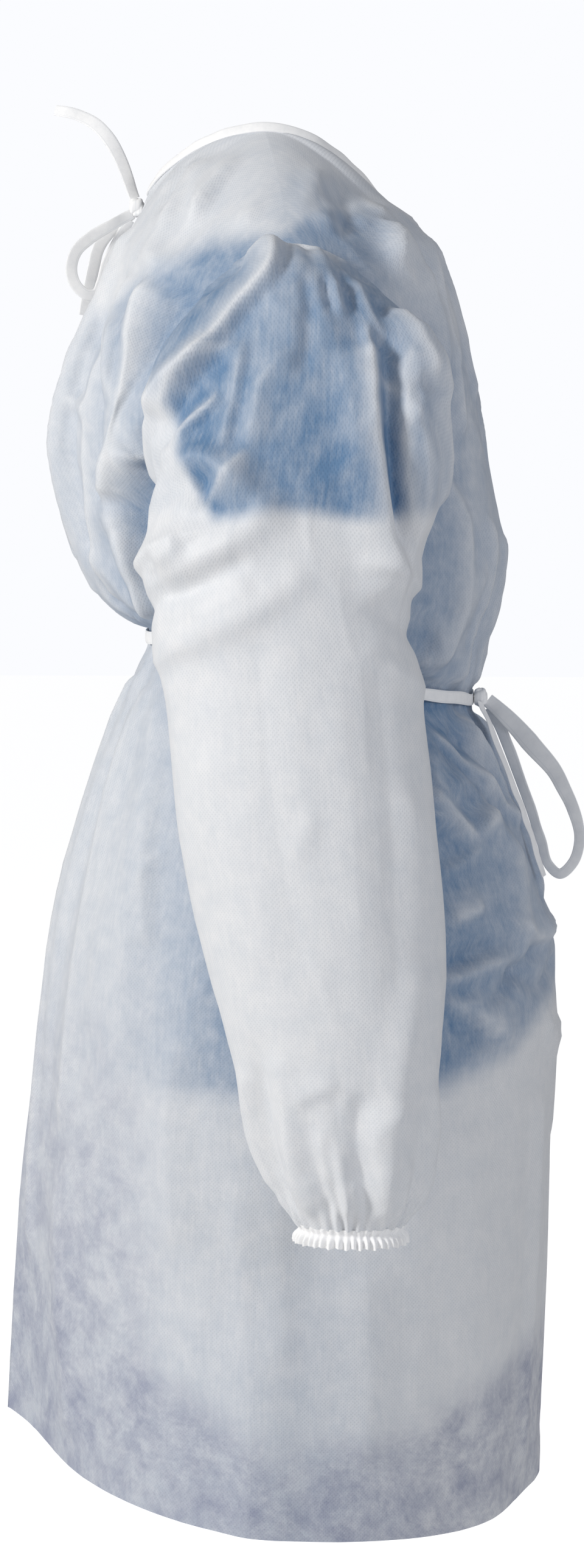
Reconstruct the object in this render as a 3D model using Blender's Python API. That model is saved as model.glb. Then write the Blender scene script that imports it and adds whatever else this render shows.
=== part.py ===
"""A disposable isolation gown of nonwoven cloth, hollow, in the form it takes when worn.

The wearer's front faces -Y, the wearer's right is -X and +Z is up. The origin is in the middle
of the neck opening, level with the points where the neckline meets the shoulder seams.
Lengths are in metres. Cloth panels are walls: an outer grid of points on the garment's form,
and the same points moved in along the surface's own direction by the wall's thickness.
"""
import math
from typing import NamedTuple

import bmesh
import bpy
import numpy as np

# Driving sizes
WALL = 0.0015
SEAM_GAP = 0.0003
TAPE_WIDTH = 0.010
TAPE_THICK = 0.0012
BINDING_HEIGHT = 0.0075
BINDING_THICK = 0.0022

# How finely the panels are divided
YOKE_ROWS = 14
SHOULDER_COLUMNS = 7
NECK_COLUMNS = 9
BACK_COLUMNS = 6
OVERLAP_COLUMNS = 2
CUFF_WAVES = 40

# Neckline: half width at the shoulder seams, and its lowest points in front and behind
NECK_HALF_WIDTH = 0.080
NECK_SIDE_Y = 0.014
NECK_FRONT = (-0.076, -0.050)
NECK_BACK = (0.117, -0.039)
SHOULDER_CROWN = 0.009

# Armhole loop: an oval in side view that is drawn to a point under the arm. Its front and back
# edges turn in towards the chest
ARMHOLE_X = -0.1845
ARMHOLE_TILT = 0.0045
ARMHOLE_Y = -0.015
ARMHOLE_Z = -0.205
ARMHOLE_HALF_HEIGHT = 0.105
ARMHOLE_HALF_DEPTH = 0.085
ARMHOLE_TURN_IN = 0.026
ARMHOLE_POINT = 0.45
ARMHOLE_DROP = 0.008

# How far each back panel runs past the centre back, as an angle round the body, and how far
# the underneath one is moved in
OVERLAP_ANGLE = math.radians(15)
NECK_GAP_ANGLE = math.radians(7)
LAYER_INSET = 0.0034

CLOTH_WHITE = (0.80, 0.82, 0.85)
TAPE_WHITE = (0.86, 0.86, 0.87)


class Yoke(NamedTuple):
    """One row of the bodice between the neckline and the underarm."""
    row: int
    front_y: float
    front_z: float
    back_y: float
    back_z: float
    wrap: float


class Ring(NamedTuple):
    """One ring of the body below the underarm, from a front half and a back half.

    A roundness of 2 gives a half ellipse, and less draws its middle out to a point.
    """
    rows: int
    half_width: float
    side_y: float
    front_y: float
    back_y: float
    front_z: float
    side_z: float
    back_z: float
    front_round: float
    back_round: float


class SleeveRing(NamedTuple):
    """One ring of the right sleeve, between its outer point and its inner point."""
    rows: int
    outer_x: float
    outer_z: float
    inner_x: float
    inner_z: float
    middle_y: float
    half_depth: float


class Fold(NamedTuple):
    """A soft ridge, or with a negative height a trough, drawn in a side, front or back view.

    Places are (across, up): Y and Z in the side views, X and Z in the front and back views.
    """
    view: str
    start: tuple
    end: tuple
    bow: float
    half_width: float
    height: float


YOKE = (
    Yoke(3, -0.112, -0.082, 0.134, -0.076, 62),
    Yoke(5, -0.128, -0.118, 0.148, -0.112, 60),
    Yoke(8, -0.147, -0.180, 0.176, -0.172, 60),
    Yoke(11, -0.160, -0.248, 0.192, -0.232, 68),
)
BODY = (
    Ring(0, 0.180, -0.015, -0.171, 0.181, -0.322, -0.326, -0.306, 2.0, 2.0),
    Ring(2, 0.176, -0.012, -0.166, 0.166, -0.368, -0.360, -0.347, 2.0, 2.0),
    Ring(2, 0.168, -0.010, -0.155, 0.150, -0.410, -0.388, -0.372, 2.0, 2.0),
    Ring(1, 0.160, -0.010, -0.151, 0.131, -0.432, -0.407, -0.384, 2.0, 2.0),
    Ring(1, 0.151, -0.010, -0.147, 0.1175, -0.440, -0.415, -0.389, 2.0, 2.0),
    Ring(1, 0.151, -0.010, -0.147, 0.1175, -0.452, -0.427, -0.401, 2.0, 2.0),
    Ring(1, 0.156, -0.010, -0.151, 0.124, -0.466, -0.443, -0.418, 2.0, 2.0),
    Ring(2, 0.171, -0.008, -0.172, 0.146, -0.510, -0.490, -0.475, 2.0, 1.95),
    Ring(3, 0.192, -0.004, -0.203, 0.178, -0.592, -0.585, -0.580, 1.95, 1.80),
    Ring(2, 0.208, 0.000, -0.2175, 0.205, -0.690, -0.690, -0.690, 1.90, 1.60),
    Ring(2, 0.221, 0.005, -0.2140, 0.226, -0.830, -0.830, -0.825, 1.90, 1.30),
    Ring(2, 0.230, 0.009, -0.2090, 0.236, -0.965, -0.955, -0.940, 1.85, 1.08),
    Ring(2, 0.236, 0.012, -0.2040, 0.243, -1.092, -1.072, -1.047, 1.8, 0.90),
)
BELT_TOP, BELT_BOTTOM = 4, 5

SLEEVE = (
    SleeveRing(2, -0.237, -0.128, -0.1915, -0.333, -0.024, 0.104),
    SleeveRing(2, -0.276, -0.198, -0.1960, -0.352, -0.026, 0.106),
    SleeveRing(2, -0.298, -0.290, -0.1970, -0.380, -0.019, 0.1045),
    SleeveRing(1, -0.304, -0.350, -0.1965, -0.405, -0.016, 0.098),
    SleeveRing(2, -0.308, -0.420, -0.199, -0.445, -0.023, 0.095),
    SleeveRing(2, -0.320, -0.520, -0.208, -0.530, -0.033, 0.0945),
    SleeveRing(2, -0.328, -0.610, -0.220, -0.615, -0.046, 0.087),
    SleeveRing(2, -0.334, -0.690, -0.234, -0.695, -0.056, 0.076),
    SleeveRing(2, -0.334, -0.755, -0.246, -0.758, -0.062, 0.066),
    SleeveRing(1, -0.328, -0.795, -0.257, -0.796, -0.068, 0.052),
    SleeveRing(1, -0.321, -0.815, -0.266, -0.815, -0.0685, 0.040),
)
SLEEVE_ARRIVES = 3

FOLDS = (
    Fold("right", (-0.010, -0.104), (0.118, -0.262), 0.012, 0.014, 0.014),
    Fold("right", (0.028, -0.135), (0.100, -0.215), 0.010, 0.020, -0.009),
    Fold("right", (0.092, -0.110), (0.128, -0.300), 0.018, 0.012, 0.009),
    Fold("right", (0.125, -0.300), (0.088, -0.385), 0.004, 0.013, 0.007),
    Fold("right", (0.060, -0.215), (0.100, -0.345), 0.010, 0.016, -0.008),
    Fold("left", (-0.026, -0.108), (0.096, -0.250), 0.010, 0.014, 0.009),
    Fold("left", (0.088, -0.120), (0.120, -0.310), 0.016, 0.013, 0.008),
    Fold("left", (0.066, -0.225), (0.094, -0.350), 0.008, 0.017, -0.007),
    Fold("back", (-0.062, -0.110), (-0.074, -0.340), 0.008, 0.011, 0.008),
    Fold("back", (0.058, -0.120), (0.080, -0.345), 0.010, 0.012, 0.008),
    Fold("front", (-0.136, -0.086), (-0.118, -0.200), 0.010, 0.014, 0.007),
    Fold("front", (0.130, -0.090), (0.124, -0.215), 0.008, 0.015, 0.006),
    Fold("front", (-0.060, -0.240), (-0.100, -0.400), 0.008, 0.018, 0.006),
    Fold("front", (0.070, -0.250), (0.092, -0.405), 0.006, 0.018, 0.006),
    Fold("front", (-0.120, -0.470), (-0.062, -0.575), -0.010, 0.014, 0.008),
    Fold("front", (0.118, -0.475), (0.070, -0.590), 0.010, 0.015, 0.007),
    Fold("front", (-0.090, -0.560), (-0.016, -0.650), -0.012, 0.018, 0.006),
    Fold("back", (-0.050, -0.440), (-0.080, -0.780), 0.010, 0.018, 0.006),
    Fold("back", (0.056, -0.440), (0.088, -0.760), 0.010, 0.019, 0.006),
    Fold("right", (0.085, -0.440), (0.130, -0.760), 0.008, 0.018, 0.006),
    Fold("left", (0.088, -0.440), (0.128, -0.740), 0.008, 0.019, 0.006),
)
SLEEVE_FOLDS = (
    Fold("right", (0.066, -0.258), (-0.004, -0.298), -0.010, 0.012, 0.012),
    Fold("right", (0.076, -0.345), (-0.012, -0.305), 0.006, 0.014, 0.009),
    Fold("right", (-0.115, -0.390), (-0.098, -0.250), 0.010, 0.016, -0.010),
    Fold("right", (0.068, -0.395), (-0.028, -0.352), 0.008, 0.012, 0.006),
    Fold("right", (-0.004, -0.690), (-0.020, -0.790), 0.006, 0.010, -0.006),
    Fold("right", (-0.120, -0.640), (-0.098, -0.770), 0.004, 0.014, 0.006),
)

# Gathers: how many stand round each half, how deep, and how far they reach from the line
BELT_GATHERS = 9
BELT_GATHER_DEPTH = 0.0065
BELT_GATHER_REACH = 0.055
HEAD_GATHERS = 5
HEAD_GATHER_DEPTH = 0.0048
WRIST_GATHERS = 9
WRIST_GATHER_DEPTH = 0.0035
HEM_FLUTES = 5
HEM_FLUTE_DEPTH = 0.0045

# Tape paths, (x, y, z), from the knot outwards
NECK_KNOT = (-0.0003, 0.1270, -0.0476)
NECK_END_UP = (
    (-0.0011, 0.1285, -0.0402), (-0.003, 0.1340, -0.0240), (-0.005, 0.1400, -0.0080),
    (-0.006, 0.1480, 0.0060), (-0.006, 0.1600, 0.0190), (-0.006, 0.1740, 0.0265),
    (-0.005, 0.1930, 0.0310),
)
NECK_END_DOWN = (
    (0.0017, 0.1314, -0.0527), (0.006, 0.1480, -0.0640), (0.006, 0.1590, -0.0780),
    (0.005, 0.1640, -0.0960), (0.004, 0.1680, -0.1150), (0.003, 0.1715, -0.1340),
)
NECK_LOOP = (
    (-0.0036, 0.1307, -0.0531), (-0.0100, 0.1450, -0.0620), (-0.016, 0.1620, -0.0730),
    (-0.019, 0.1740, -0.0845), (-0.020, 0.1780, -0.0985), (-0.019, 0.1745, -0.1115),
    (-0.016, 0.1660, -0.1190), (-0.013, 0.1585, -0.1180), (-0.011, 0.1540, -0.1080),
    (-0.007, 0.1500, -0.0930), (-0.003, 0.1430, -0.0760), (-0.0006, 0.1330, -0.0574),
)
BELT_KNOT = (-0.006, -0.1547, -0.4455)
BELT_LOOP = (
    (-0.0095, -0.1608, -0.4478), (-0.014, -0.1770, -0.4620), (-0.018, -0.1965, -0.4830),
    (-0.021, -0.2140, -0.5030), (-0.023, -0.2255, -0.5240), (-0.024, -0.2335, -0.5440),
    (-0.024, -0.2355, -0.5620), (-0.023, -0.2310, -0.5780), (-0.021, -0.2200, -0.5880),
    (-0.018, -0.2110, -0.5810), (-0.016, -0.2055, -0.5640), (-0.014, -0.1980, -0.5410),
    (-0.012, -0.1895, -0.5170), (-0.010, -0.1815, -0.4960), (-0.008, -0.1730, -0.4740),
    (-0.0062, -0.1628, -0.4535),
)
BELT_END = (
    (-0.0158, -0.1548, -0.4491), (-0.028, -0.1650, -0.4720), (-0.036, -0.1760, -0.5000),
    (-0.040, -0.1880, -0.5300), (-0.041, -0.1985, -0.5600), (-0.040, -0.2070, -0.5880),
)


def fresh_scene() -> None:
    """Remove every object, so that the script can run in any file."""
    for found in list(bpy.data.objects):
        bpy.data.objects.remove(found, do_unlink=True)


def cloth_material(name: str, colour: tuple, roughness: float):
    """Make a Principled material for one piece."""
    material = bpy.data.materials.new(name)
    material.use_nodes = True
    shader = material.node_tree.nodes["Principled BSDF"]
    shader.inputs["Base Color"].default_value = (*colour, 1.0)
    shader.inputs["Roughness"].default_value = roughness
    shader.inputs["Metallic"].default_value = 0.0
    return material


def add_piece(name: str, mesh: bmesh.types.BMesh, colour: tuple, roughness: float = 0.85):
    """Turn a finished bmesh into a named object with its own material."""
    bmesh.ops.recalc_face_normals(mesh, faces=mesh.faces)
    data = bpy.data.meshes.new(name)
    mesh.to_mesh(data)
    mesh.free()
    data.materials.append(cloth_material(name, colour, roughness))
    piece = bpy.data.objects.new(name, data)
    bpy.context.scene.collection.objects.link(piece)
    return piece


def wall(outer: np.ndarray, inner: np.ndarray, tube: bool = False) -> bmesh.types.BMesh:
    """Close two grids of points, rows by columns, into one cloth wall.

    In a tube the last column is the first one again, and the two are merged.
    """
    rows, columns = outer.shape[:2]
    mesh = bmesh.new()
    order = mesh.verts.layers.int.new("order")
    bmesh.ops.create_grid(mesh, x_segments=columns - 1, y_segments=rows - 1, size=0.5)
    mesh.verts.ensure_lookup_table()
    for number, (vertex, place) in enumerate(zip(mesh.verts, outer.reshape(-1, 3))):
        vertex[order] = number
        vertex.co = place
    if tube:
        bmesh.ops.remove_doubles(mesh, verts=mesh.verts, dist=1e-6)
    first_faces = list(mesh.faces)
    grown = bmesh.ops.extrude_face_region(mesh, geom=first_faces, use_keep_orig=True)
    inner_places = inner.reshape(-1, 3)
    for item in grown["geom"]:
        if isinstance(item, bmesh.types.BMVert):
            item.co = inner_places[item[order]]
    return mesh


def smooth_step(value, low: float, high: float):
    """Rise softly from 0 at low to 1 at high."""
    share = np.clip((np.asarray(value, dtype=float) - low) / (high - low), 0.0, 1.0)
    return share * share * (3.0 - 2.0 * share)


def surface_directions(points: np.ndarray, tube: bool = False) -> np.ndarray:
    """Unit directions square to a grid of points, from its rows and columns."""
    down = np.gradient(points, axis=0)
    across = np.gradient(points, axis=1)
    if tube:
        across[:, 0] = across[:, -1] = (points[:, 1] - points[:, -2]) / 2.0
    direction = np.cross(down, across)
    return direction / np.maximum(np.linalg.norm(direction, axis=2, keepdims=True), 1e-12)


def blend(first, second, start, end, at):
    """Mix two values by where at lies between start and end."""
    return ((end - at) * first + (at - start) * second) / (end - start)


def smooth_rows(levels: list, counts: list, before: np.ndarray = None) -> np.ndarray:
    """Rows of points on smooth curves through the level rows.

    counts holds the number of rows in each stretch between two levels, and before is the row
    that the curves come from, where a neighbouring panel carries them on.
    """
    before = 2 * levels[0] - levels[1] if before is None else before
    chain = [before, *levels, 2 * levels[-1] - levels[-2]]
    rows = [levels[0]]
    for place, count in enumerate(counts):
        four = chain[place:place + 4]
        knots = [np.zeros((len(levels[0]), 1))]
        for first, second in zip(four, four[1:]):
            step = np.sqrt(np.linalg.norm(second - first, axis=1, keepdims=True))
            knots.append(knots[-1] + np.maximum(step, 1e-3))
        for part in range(1, count + 1):
            at = knots[1] + (knots[2] - knots[1]) * part / count
            once = [blend(four[i], four[i + 1], knots[i], knots[i + 1], at) for i in range(3)]
            twice = [blend(once[i], once[i + 1], knots[i], knots[i + 2], at) for i in range(2)]
            rows.append(blend(twice[0], twice[1], knots[1], knots[2], at))
    return np.array(rows)


def armhole(angle) -> np.ndarray:
    """Points on the right armhole: 0 at the shoulder, pi at the underarm, front positive."""
    angle = np.asarray(angle, dtype=float)
    low = np.clip(-np.cos(angle), 0.0, 1.0)
    side = np.abs(np.sin(angle))
    return np.stack([
        ARMHOLE_X - ARMHOLE_TILT * np.cos(angle) + ARMHOLE_TURN_IN * side ** 2,
        ARMHOLE_Y - ARMHOLE_HALF_DEPTH * np.sin(angle) * side ** (ARMHOLE_POINT * low),
        ARMHOLE_Z + ARMHOLE_HALF_HEIGHT * np.cos(angle) - ARMHOLE_DROP * low * (1 - side) ** 2,
    ], axis=-1)


def neckline(angle, lowest: tuple) -> np.ndarray:
    """Points on half of the neckline: 0 at its lowest point, pi/2 at the right shoulder seam."""
    angle = np.asarray(angle, dtype=float)
    lowest_y, lowest_z = lowest
    return np.stack([
        -NECK_HALF_WIDTH * np.sin(angle),
        NECK_SIDE_Y + (lowest_y - NECK_SIDE_Y) * np.cos(angle),
        lowest_z * np.cos(angle) ** 2,
    ], axis=-1)


def shoulder_seam() -> np.ndarray:
    """Points of the right shoulder seam, from the armhole to the neckline."""
    armhole_end, neck_end = armhole(0.0), neckline(math.pi / 2, NECK_FRONT)
    share = np.linspace(0.0, 1.0, SHOULDER_COLUMNS + 1)[:, None]
    seam = armhole_end + (neck_end - armhole_end) * share
    seam[:, 2] += SHOULDER_CROWN * np.sin(math.pi * share[:, 0])
    return seam


def half_arc(edge, middle, wrap: float, angles: np.ndarray, roundness: float = 2.0) -> np.ndarray:
    """An arc from a panel's right edge to the middle of the body, by angle from the middle."""
    across = np.sin(angles) / math.sin(wrap)
    level = np.sqrt(np.maximum(1.0 - np.abs(np.sin(angles)) ** roundness, 0.0))
    lowest = math.sqrt(max(1.0 - math.sin(wrap) ** roundness, 0.0))
    rise = (level - lowest) / (1.0 - lowest)
    return np.stack([
        edge[0] * across,
        edge[1] + (middle[1] - edge[1]) * rise,
        edge[2] + (middle[2] - edge[2]) * rise,
    ], axis=-1)


def row_angle(row):
    """The armhole angle at which a row of the bodice ends."""
    return math.pi * row / YOKE_ROWS


def front_half_levels() -> list:
    """Level rows of the front panel's right half, from the armhole edge to the middle."""
    neck = neckline(np.linspace(math.pi / 2, 0.0, NECK_COLUMNS + 1), NECK_FRONT)
    levels = [np.vstack([shoulder_seam()[:-1], neck])]
    shares = np.concatenate([
        np.linspace(1.0, 0.5, SHOULDER_COLUMNS + 1)[:-1], np.linspace(0.5, 0.0, NECK_COLUMNS + 1),
    ])
    for yoke in YOKE:
        wrap = math.radians(yoke.wrap)
        edge = armhole(row_angle(yoke.row))
        levels.append(half_arc(edge, (0.0, yoke.front_y, yoke.front_z), wrap, wrap * shares))
    for ring in BODY:
        edge = np.array([-ring.half_width, ring.side_y, ring.side_z])
        middle = (0.0, ring.front_y, ring.front_z)
        angles = math.pi / 2 * shares
        levels.append(half_arc(edge, middle, math.pi / 2, angles, ring.front_round))
    return levels


def back_angles(side: float, over: float) -> np.ndarray:
    """Angles of a back panel's columns, from its side edge, through 0, to past the centre."""
    return np.concatenate([
        side * np.linspace(1.0, 0.5, SHOULDER_COLUMNS + 1)[:-1],
        side * np.linspace(0.5, 0.0, BACK_COLUMNS + 1)[:-1],
        np.linspace(0.0, -over, OVERLAP_COLUMNS + 1),
    ])


def back_levels() -> list:
    """Level rows of the right back panel, from its side edge to past the centre back."""
    neck_count = BACK_COLUMNS + OVERLAP_COLUMNS + 1
    neck_angles = np.linspace(math.pi / 2, NECK_GAP_ANGLE, neck_count)
    levels = [np.vstack([shoulder_seam()[:-1], neckline(neck_angles, NECK_BACK)])]
    for yoke in YOKE:
        wrap = math.radians(yoke.wrap)
        edge = armhole(-row_angle(yoke.row))
        angles = back_angles(wrap, OVERLAP_ANGLE * smooth_step(yoke.row, 0, YOKE_ROWS))
        middle = (0.0, yoke.back_y, yoke.back_z)
        levels.append(half_arc(edge, middle, wrap, angles))
    angles = back_angles(math.pi / 2, OVERLAP_ANGLE)
    for ring in BODY:
        edge = np.array([-ring.half_width, ring.side_y, ring.side_z])
        middle = (0.0, ring.back_y, ring.back_z)
        levels.append(half_arc(edge, middle, math.pi / 2, angles, ring.back_round))
    return levels


def level_counts() -> list:
    """How many rows stand between each level of a panel and the next."""
    ends = [0, *[yoke.row for yoke in YOKE], YOKE_ROWS]
    bodice = [later - sooner for sooner, later in zip(ends, ends[1:])]
    return bodice + [ring.rows for ring in BODY[1:]]


def side_seam() -> np.ndarray:
    """Points of the right side seam, one for each row from the underarm to the hem."""
    sides = [[(-ring.half_width, ring.side_y, ring.side_z)] for ring in BODY[1:]]
    levels = [np.array([armhole(math.pi)])] + [np.array(side) for side in sides]
    return smooth_rows(levels, [ring.rows for ring in BODY[1:]])[:, 0]


def settle_edge(rows: np.ndarray, side: int) -> np.ndarray:
    """Move the first columns so that the edge lies exactly on the armhole and the side seam."""
    reach = np.array([1.0, 0.3, 0.08])
    edge = np.vstack([armhole(side * row_angle(np.arange(YOKE_ROWS))), side_seam()])
    shift = edge - rows[:, 0]
    rows[:, :3] += reach[None, :, None] * shift[:, None]
    return rows


def fold_height(points: np.ndarray, folds: tuple) -> np.ndarray:
    """How far each point stands out of the plain form, from a table of folds."""
    height = np.zeros(points.shape[:2])
    x, y, z = points[..., 0], points[..., 1], points[..., 2]
    faces = {
        "right": (y, smooth_step(-x, 0.03, 0.08)),
        "left": (y, smooth_step(x, 0.03, 0.08)),
        "front": (x, smooth_step(-y, 0.02, 0.07)),
        "back": (x, smooth_step(y, 0.02, 0.07)),
    }
    for fold in folds:
        across, weight = faces[fold.view]
        start, end = np.array(fold.start), np.array(fold.end)
        run = end - start
        length = np.linalg.norm(run)
        square = np.array([-run[1], run[0]]) / length
        offset = np.stack([across - start[0], z - start[1]], axis=-1)
        along = np.clip((offset @ run) / length ** 2, 0.0, 1.0)
        line = start + along[..., None] * run
        line = line + (fold.bow * np.sin(math.pi * along))[..., None] * square
        miss = np.hypot(across - line[..., 0], z - line[..., 1])
        ends = 0.35 + 0.65 * np.sin(math.pi * np.clip(along, 0.08, 0.92))
        height += weight * fold.height * ends * np.exp(-(miss / fold.half_width) ** 2)
    return height


def belt_gathers(points: np.ndarray, seam_share: np.ndarray) -> np.ndarray:
    """Soft gathers above and below the belt, uneven in place and depth."""
    turn = np.arctan2(points[..., 0], -points[..., 1] + BODY[BELT_TOP].side_y)
    line = belt_height(points[..., 1])
    reach = np.exp(-((points[..., 2] - line) / BELT_GATHER_REACH) ** 2)
    wave = np.cos(2 * BELT_GATHERS * turn + 1.3 * np.sin(3 * turn) + 0.8 * np.sin(5 * turn + 1.0))
    depth = 0.75 + 0.25 * np.sin(4 * turn + 0.6)
    return -BELT_GATHER_DEPTH * reach * depth * (0.5 - 0.5 * wave) * seam_share


def belt_height(y):
    """Height of the belt's middle round the body: lower in front than behind."""
    top, bottom = BODY[BELT_TOP], BODY[BELT_BOTTOM]
    back = (top.back_z + bottom.back_z) / 2
    front = (top.front_z + bottom.front_z) / 2
    return front + (back - front) * (np.asarray(y) - top.front_y) / (top.back_y - top.front_y)


def hem_flutes(points: np.ndarray) -> np.ndarray:
    """Long shallow waves that open towards the hem."""
    turn = np.arctan2(points[..., 0], -points[..., 1])
    wave = np.sin(HEM_FLUTES * turn + 0.9 * np.sin(2 * turn + 0.4))
    return HEM_FLUTE_DEPTH * wave * smooth_step(-points[..., 2], 0.60, 1.05)


def seam_directions(points: np.ndarray, out: np.ndarray, first: bool, last: bool) -> np.ndarray:
    """Give a panel's seamed edges the direction that the panel on the other side has too.

    It is square to the seam and, along the side seams, to the wearer's front and back. Along
    the shoulder seams it is as near straight up as the seam allows.
    """
    ends = [side for side, seamed in ((0, first), (-1, last)) if seamed]
    for side in ends:
        along = np.gradient(points[:, side], axis=0)[YOKE_ROWS:]
        square = np.stack([-along[:, 2], 0 * along[:, 0], along[:, 0]], axis=-1)
        square = square * np.sign(np.sum(square * out[YOKE_ROWS:, side], axis=1))[:, None]
        out[YOKE_ROWS:, side] = square / np.linalg.norm(square, axis=1, keepdims=True)
        seam = slice(0, SHOULDER_COLUMNS + 1) if side == 0 else slice(-SHOULDER_COLUMNS - 1, None)
        along = np.gradient(points[0, seam], axis=0)
        along = along / np.linalg.norm(along, axis=1, keepdims=True)
        up = np.array([0.0, 0.0, 1.0]) - along * along[:, 2:]
        out[0, seam] = up / np.linalg.norm(up, axis=1, keepdims=True)
    return out


def under_share(rows: int, columns: int) -> np.ndarray:
    """1 where the left back panel lies under the right one, and 0 at its neckline and side."""
    across = smooth_step(np.arange(columns), columns - 9.0, columns - 5.0)
    return smooth_step(np.arange(rows), 0.0, 2.5)[:, None] * across


def rest_on_form(rows: np.ndarray, share: np.ndarray, under=0.0, ends=(True, False)) -> tuple:
    """Raise a body panel's folds and gathers, and give its outer and inner points."""
    out = surface_directions(rows)
    if np.sum(out[..., 1] * (rows[..., 1] - BODY[BELT_TOP].side_y)) < 0:
        out = -out
    away_from_belt = smooth_step(np.abs(rows[..., 2] - belt_height(rows[..., 1])), 0.009, 0.035)
    rise = fold_height(rows, FOLDS) * away_from_belt * share
    rise = rise + belt_gathers(rows, share) + hem_flutes(rows) * share - LAYER_INSET * under
    outer = rows + out * rise[..., None]
    facing = surface_directions(outer)
    facing = facing * np.sign(np.sum(facing * out, axis=2, keepdims=True))
    facing = seam_directions(outer, facing, *ends)
    return outer, outer - facing * WALL


def edge_share(rows: int, columns: int, first: bool, last: bool) -> np.ndarray:
    """1 over a panel, falling to 0 along its top edge and its seamed sides."""
    share = np.ones((rows, columns))
    share *= smooth_step(np.arange(rows), 0.0, 2.5)[:, None]
    if first:
        share *= smooth_step(np.arange(columns), 0.0, 2.0)[None, :]
    if last:
        share *= smooth_step(np.arange(columns)[::-1], 0.0, 2.0)[None, :]
    return share


def mirrored(points: np.ndarray) -> np.ndarray:
    """The same grid on the wearer's other side."""
    return points * np.array([-1.0, 1.0, 1.0])


def carried_on(levels: list, neighbour: np.ndarray) -> np.ndarray:
    """The row that a panel's curves come from: the neighbour's first row at the shoulder seam.

    Along the neckline the curves have no neighbour, and the two kinds mix over a few columns.
    """
    before = 2 * levels[0] - levels[1]
    shared = SHOULDER_COLUMNS + 5
    free = smooth_step(np.arange(shared), SHOULDER_COLUMNS, shared)[:, None]
    before[:shared] = neighbour[:shared] * (1 - free) + before[:shared] * free
    return before


def front_rows() -> np.ndarray:
    """The front panel's plain form, from its right edge to its left edge."""
    levels = front_half_levels()
    before = carried_on(levels, back_levels()[1])
    half = settle_edge(smooth_rows(levels, level_counts(), before), 1)
    whole = np.concatenate([half, mirrored(half)[:, -2::-1]], axis=1)
    whole[..., 1] -= SEAM_GAP / 2 * seam_touch(whole.shape[1])
    return whole


def seam_touch(columns: int) -> np.ndarray:
    """1 over the columns that end at the shoulder seams, which are moved apart by the gap."""
    column = np.arange(columns)
    return np.where((column <= SHOULDER_COLUMNS) | (column >= columns - 1 - SHOULDER_COLUMNS), 1, 0)


def back_rows() -> np.ndarray:
    """The right back panel's plain form, from its side edge to its free back edge."""
    levels = back_levels()
    before = carried_on(levels, front_half_levels()[1])
    rows = settle_edge(smooth_rows(levels, level_counts(), before), -1)
    rows[:, :SHOULDER_COLUMNS + 1, 1] += SEAM_GAP / 2
    return rows


def add_body() -> None:
    """Make the front panel and the two back panels."""
    rows = front_rows()
    share = edge_share(rows.shape[0], rows.shape[1], True, True)
    outer, inner = rest_on_form(rows, share, ends=(True, True))
    add_piece("front_panel", wall(outer, inner), CLOTH_WHITE)
    rows = back_rows()
    share = edge_share(rows.shape[0], rows.shape[1], True, False)
    add_piece("back_panel_right", wall(*rest_on_form(rows, share)), CLOTH_WHITE)
    outer, inner = rest_on_form(mirrored(back_rows()), share, under_share(*share.shape))
    add_piece("back_panel_left", wall(outer, inner), CLOTH_WHITE)


def sleeve_columns() -> np.ndarray:
    """Armhole angles of the sleeve's columns: down the back first, then up the front."""
    return np.linspace(-math.pi, math.pi, 2 * YOKE_ROWS + 1)


def sleeve_rows() -> np.ndarray:
    """The right sleeve's plain form, from the armhole to the wrist."""
    angles = sleeve_columns()
    start = armhole(angles)
    start[:, 0] -= SEAM_GAP
    levels = [start]
    for ring in SLEEVE:
        outer = np.array([ring.outer_x, ring.middle_y, ring.outer_z])
        inner = np.array([ring.inner_x, ring.middle_y, ring.inner_z])
        forward = np.array([0.0, -ring.half_depth, 0.0])
        levels.append((outer + inner) / 2 + np.outer(np.cos(angles), (outer - inner) / 2)
                      + np.outer(np.sin(angles), forward))
    counts = [SLEEVE_ARRIVES] + [ring.rows for ring in SLEEVE[1:]]
    return smooth_rows(levels, counts)


def sleeve_rise(rows: np.ndarray) -> np.ndarray:
    """Folds of a sleeve: gathers at its head and wrist, and creases in between."""
    angles = sleeve_columns()[None, :]
    count = rows.shape[0]
    share = smooth_step(np.arange(count), 0.0, 2.0) * smooth_step(np.arange(count)[::-1], 0.0, 2.0)
    drop = np.linalg.norm(rows - rows[0], axis=2)
    head = np.cos(HEAD_GATHERS * angles + 0.5 * np.sin(2 * angles)) * smooth_step(
        np.cos(angles), -0.3, 0.4)
    head = head * smooth_step(drop, 0.0, 0.03) * (1 - smooth_step(drop, 0.06, 0.17))
    climb = np.linalg.norm(rows - rows[-1], axis=2)
    wrist = np.cos(WRIST_GATHERS * angles + 0.7 * np.sin(3 * angles))
    wrist = wrist * smooth_step(climb, 0.0, 0.02) * (1 - smooth_step(climb, 0.03, 0.11))
    folds = fold_height(rows, SLEEVE_FOLDS)
    return (HEAD_GATHER_DEPTH * head + WRIST_GATHER_DEPTH * wrist + folds) * share[:, None]


def add_sleeves() -> None:
    """Make the two sleeves."""
    rows = sleeve_rows()
    rise = sleeve_rise(rows)[..., None]
    outer = rows + surface_directions(rows, tube=True) * rise
    inner = outer - surface_directions(outer, tube=True) * WALL
    inner[0, :, 0] = outer[0, :, 0]
    add_piece("sleeve_right", wall(outer, inner, tube=True), CLOTH_WHITE)
    add_piece("sleeve_left", wall(mirrored(outer), mirrored(inner), tube=True), CLOTH_WHITE)


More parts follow.
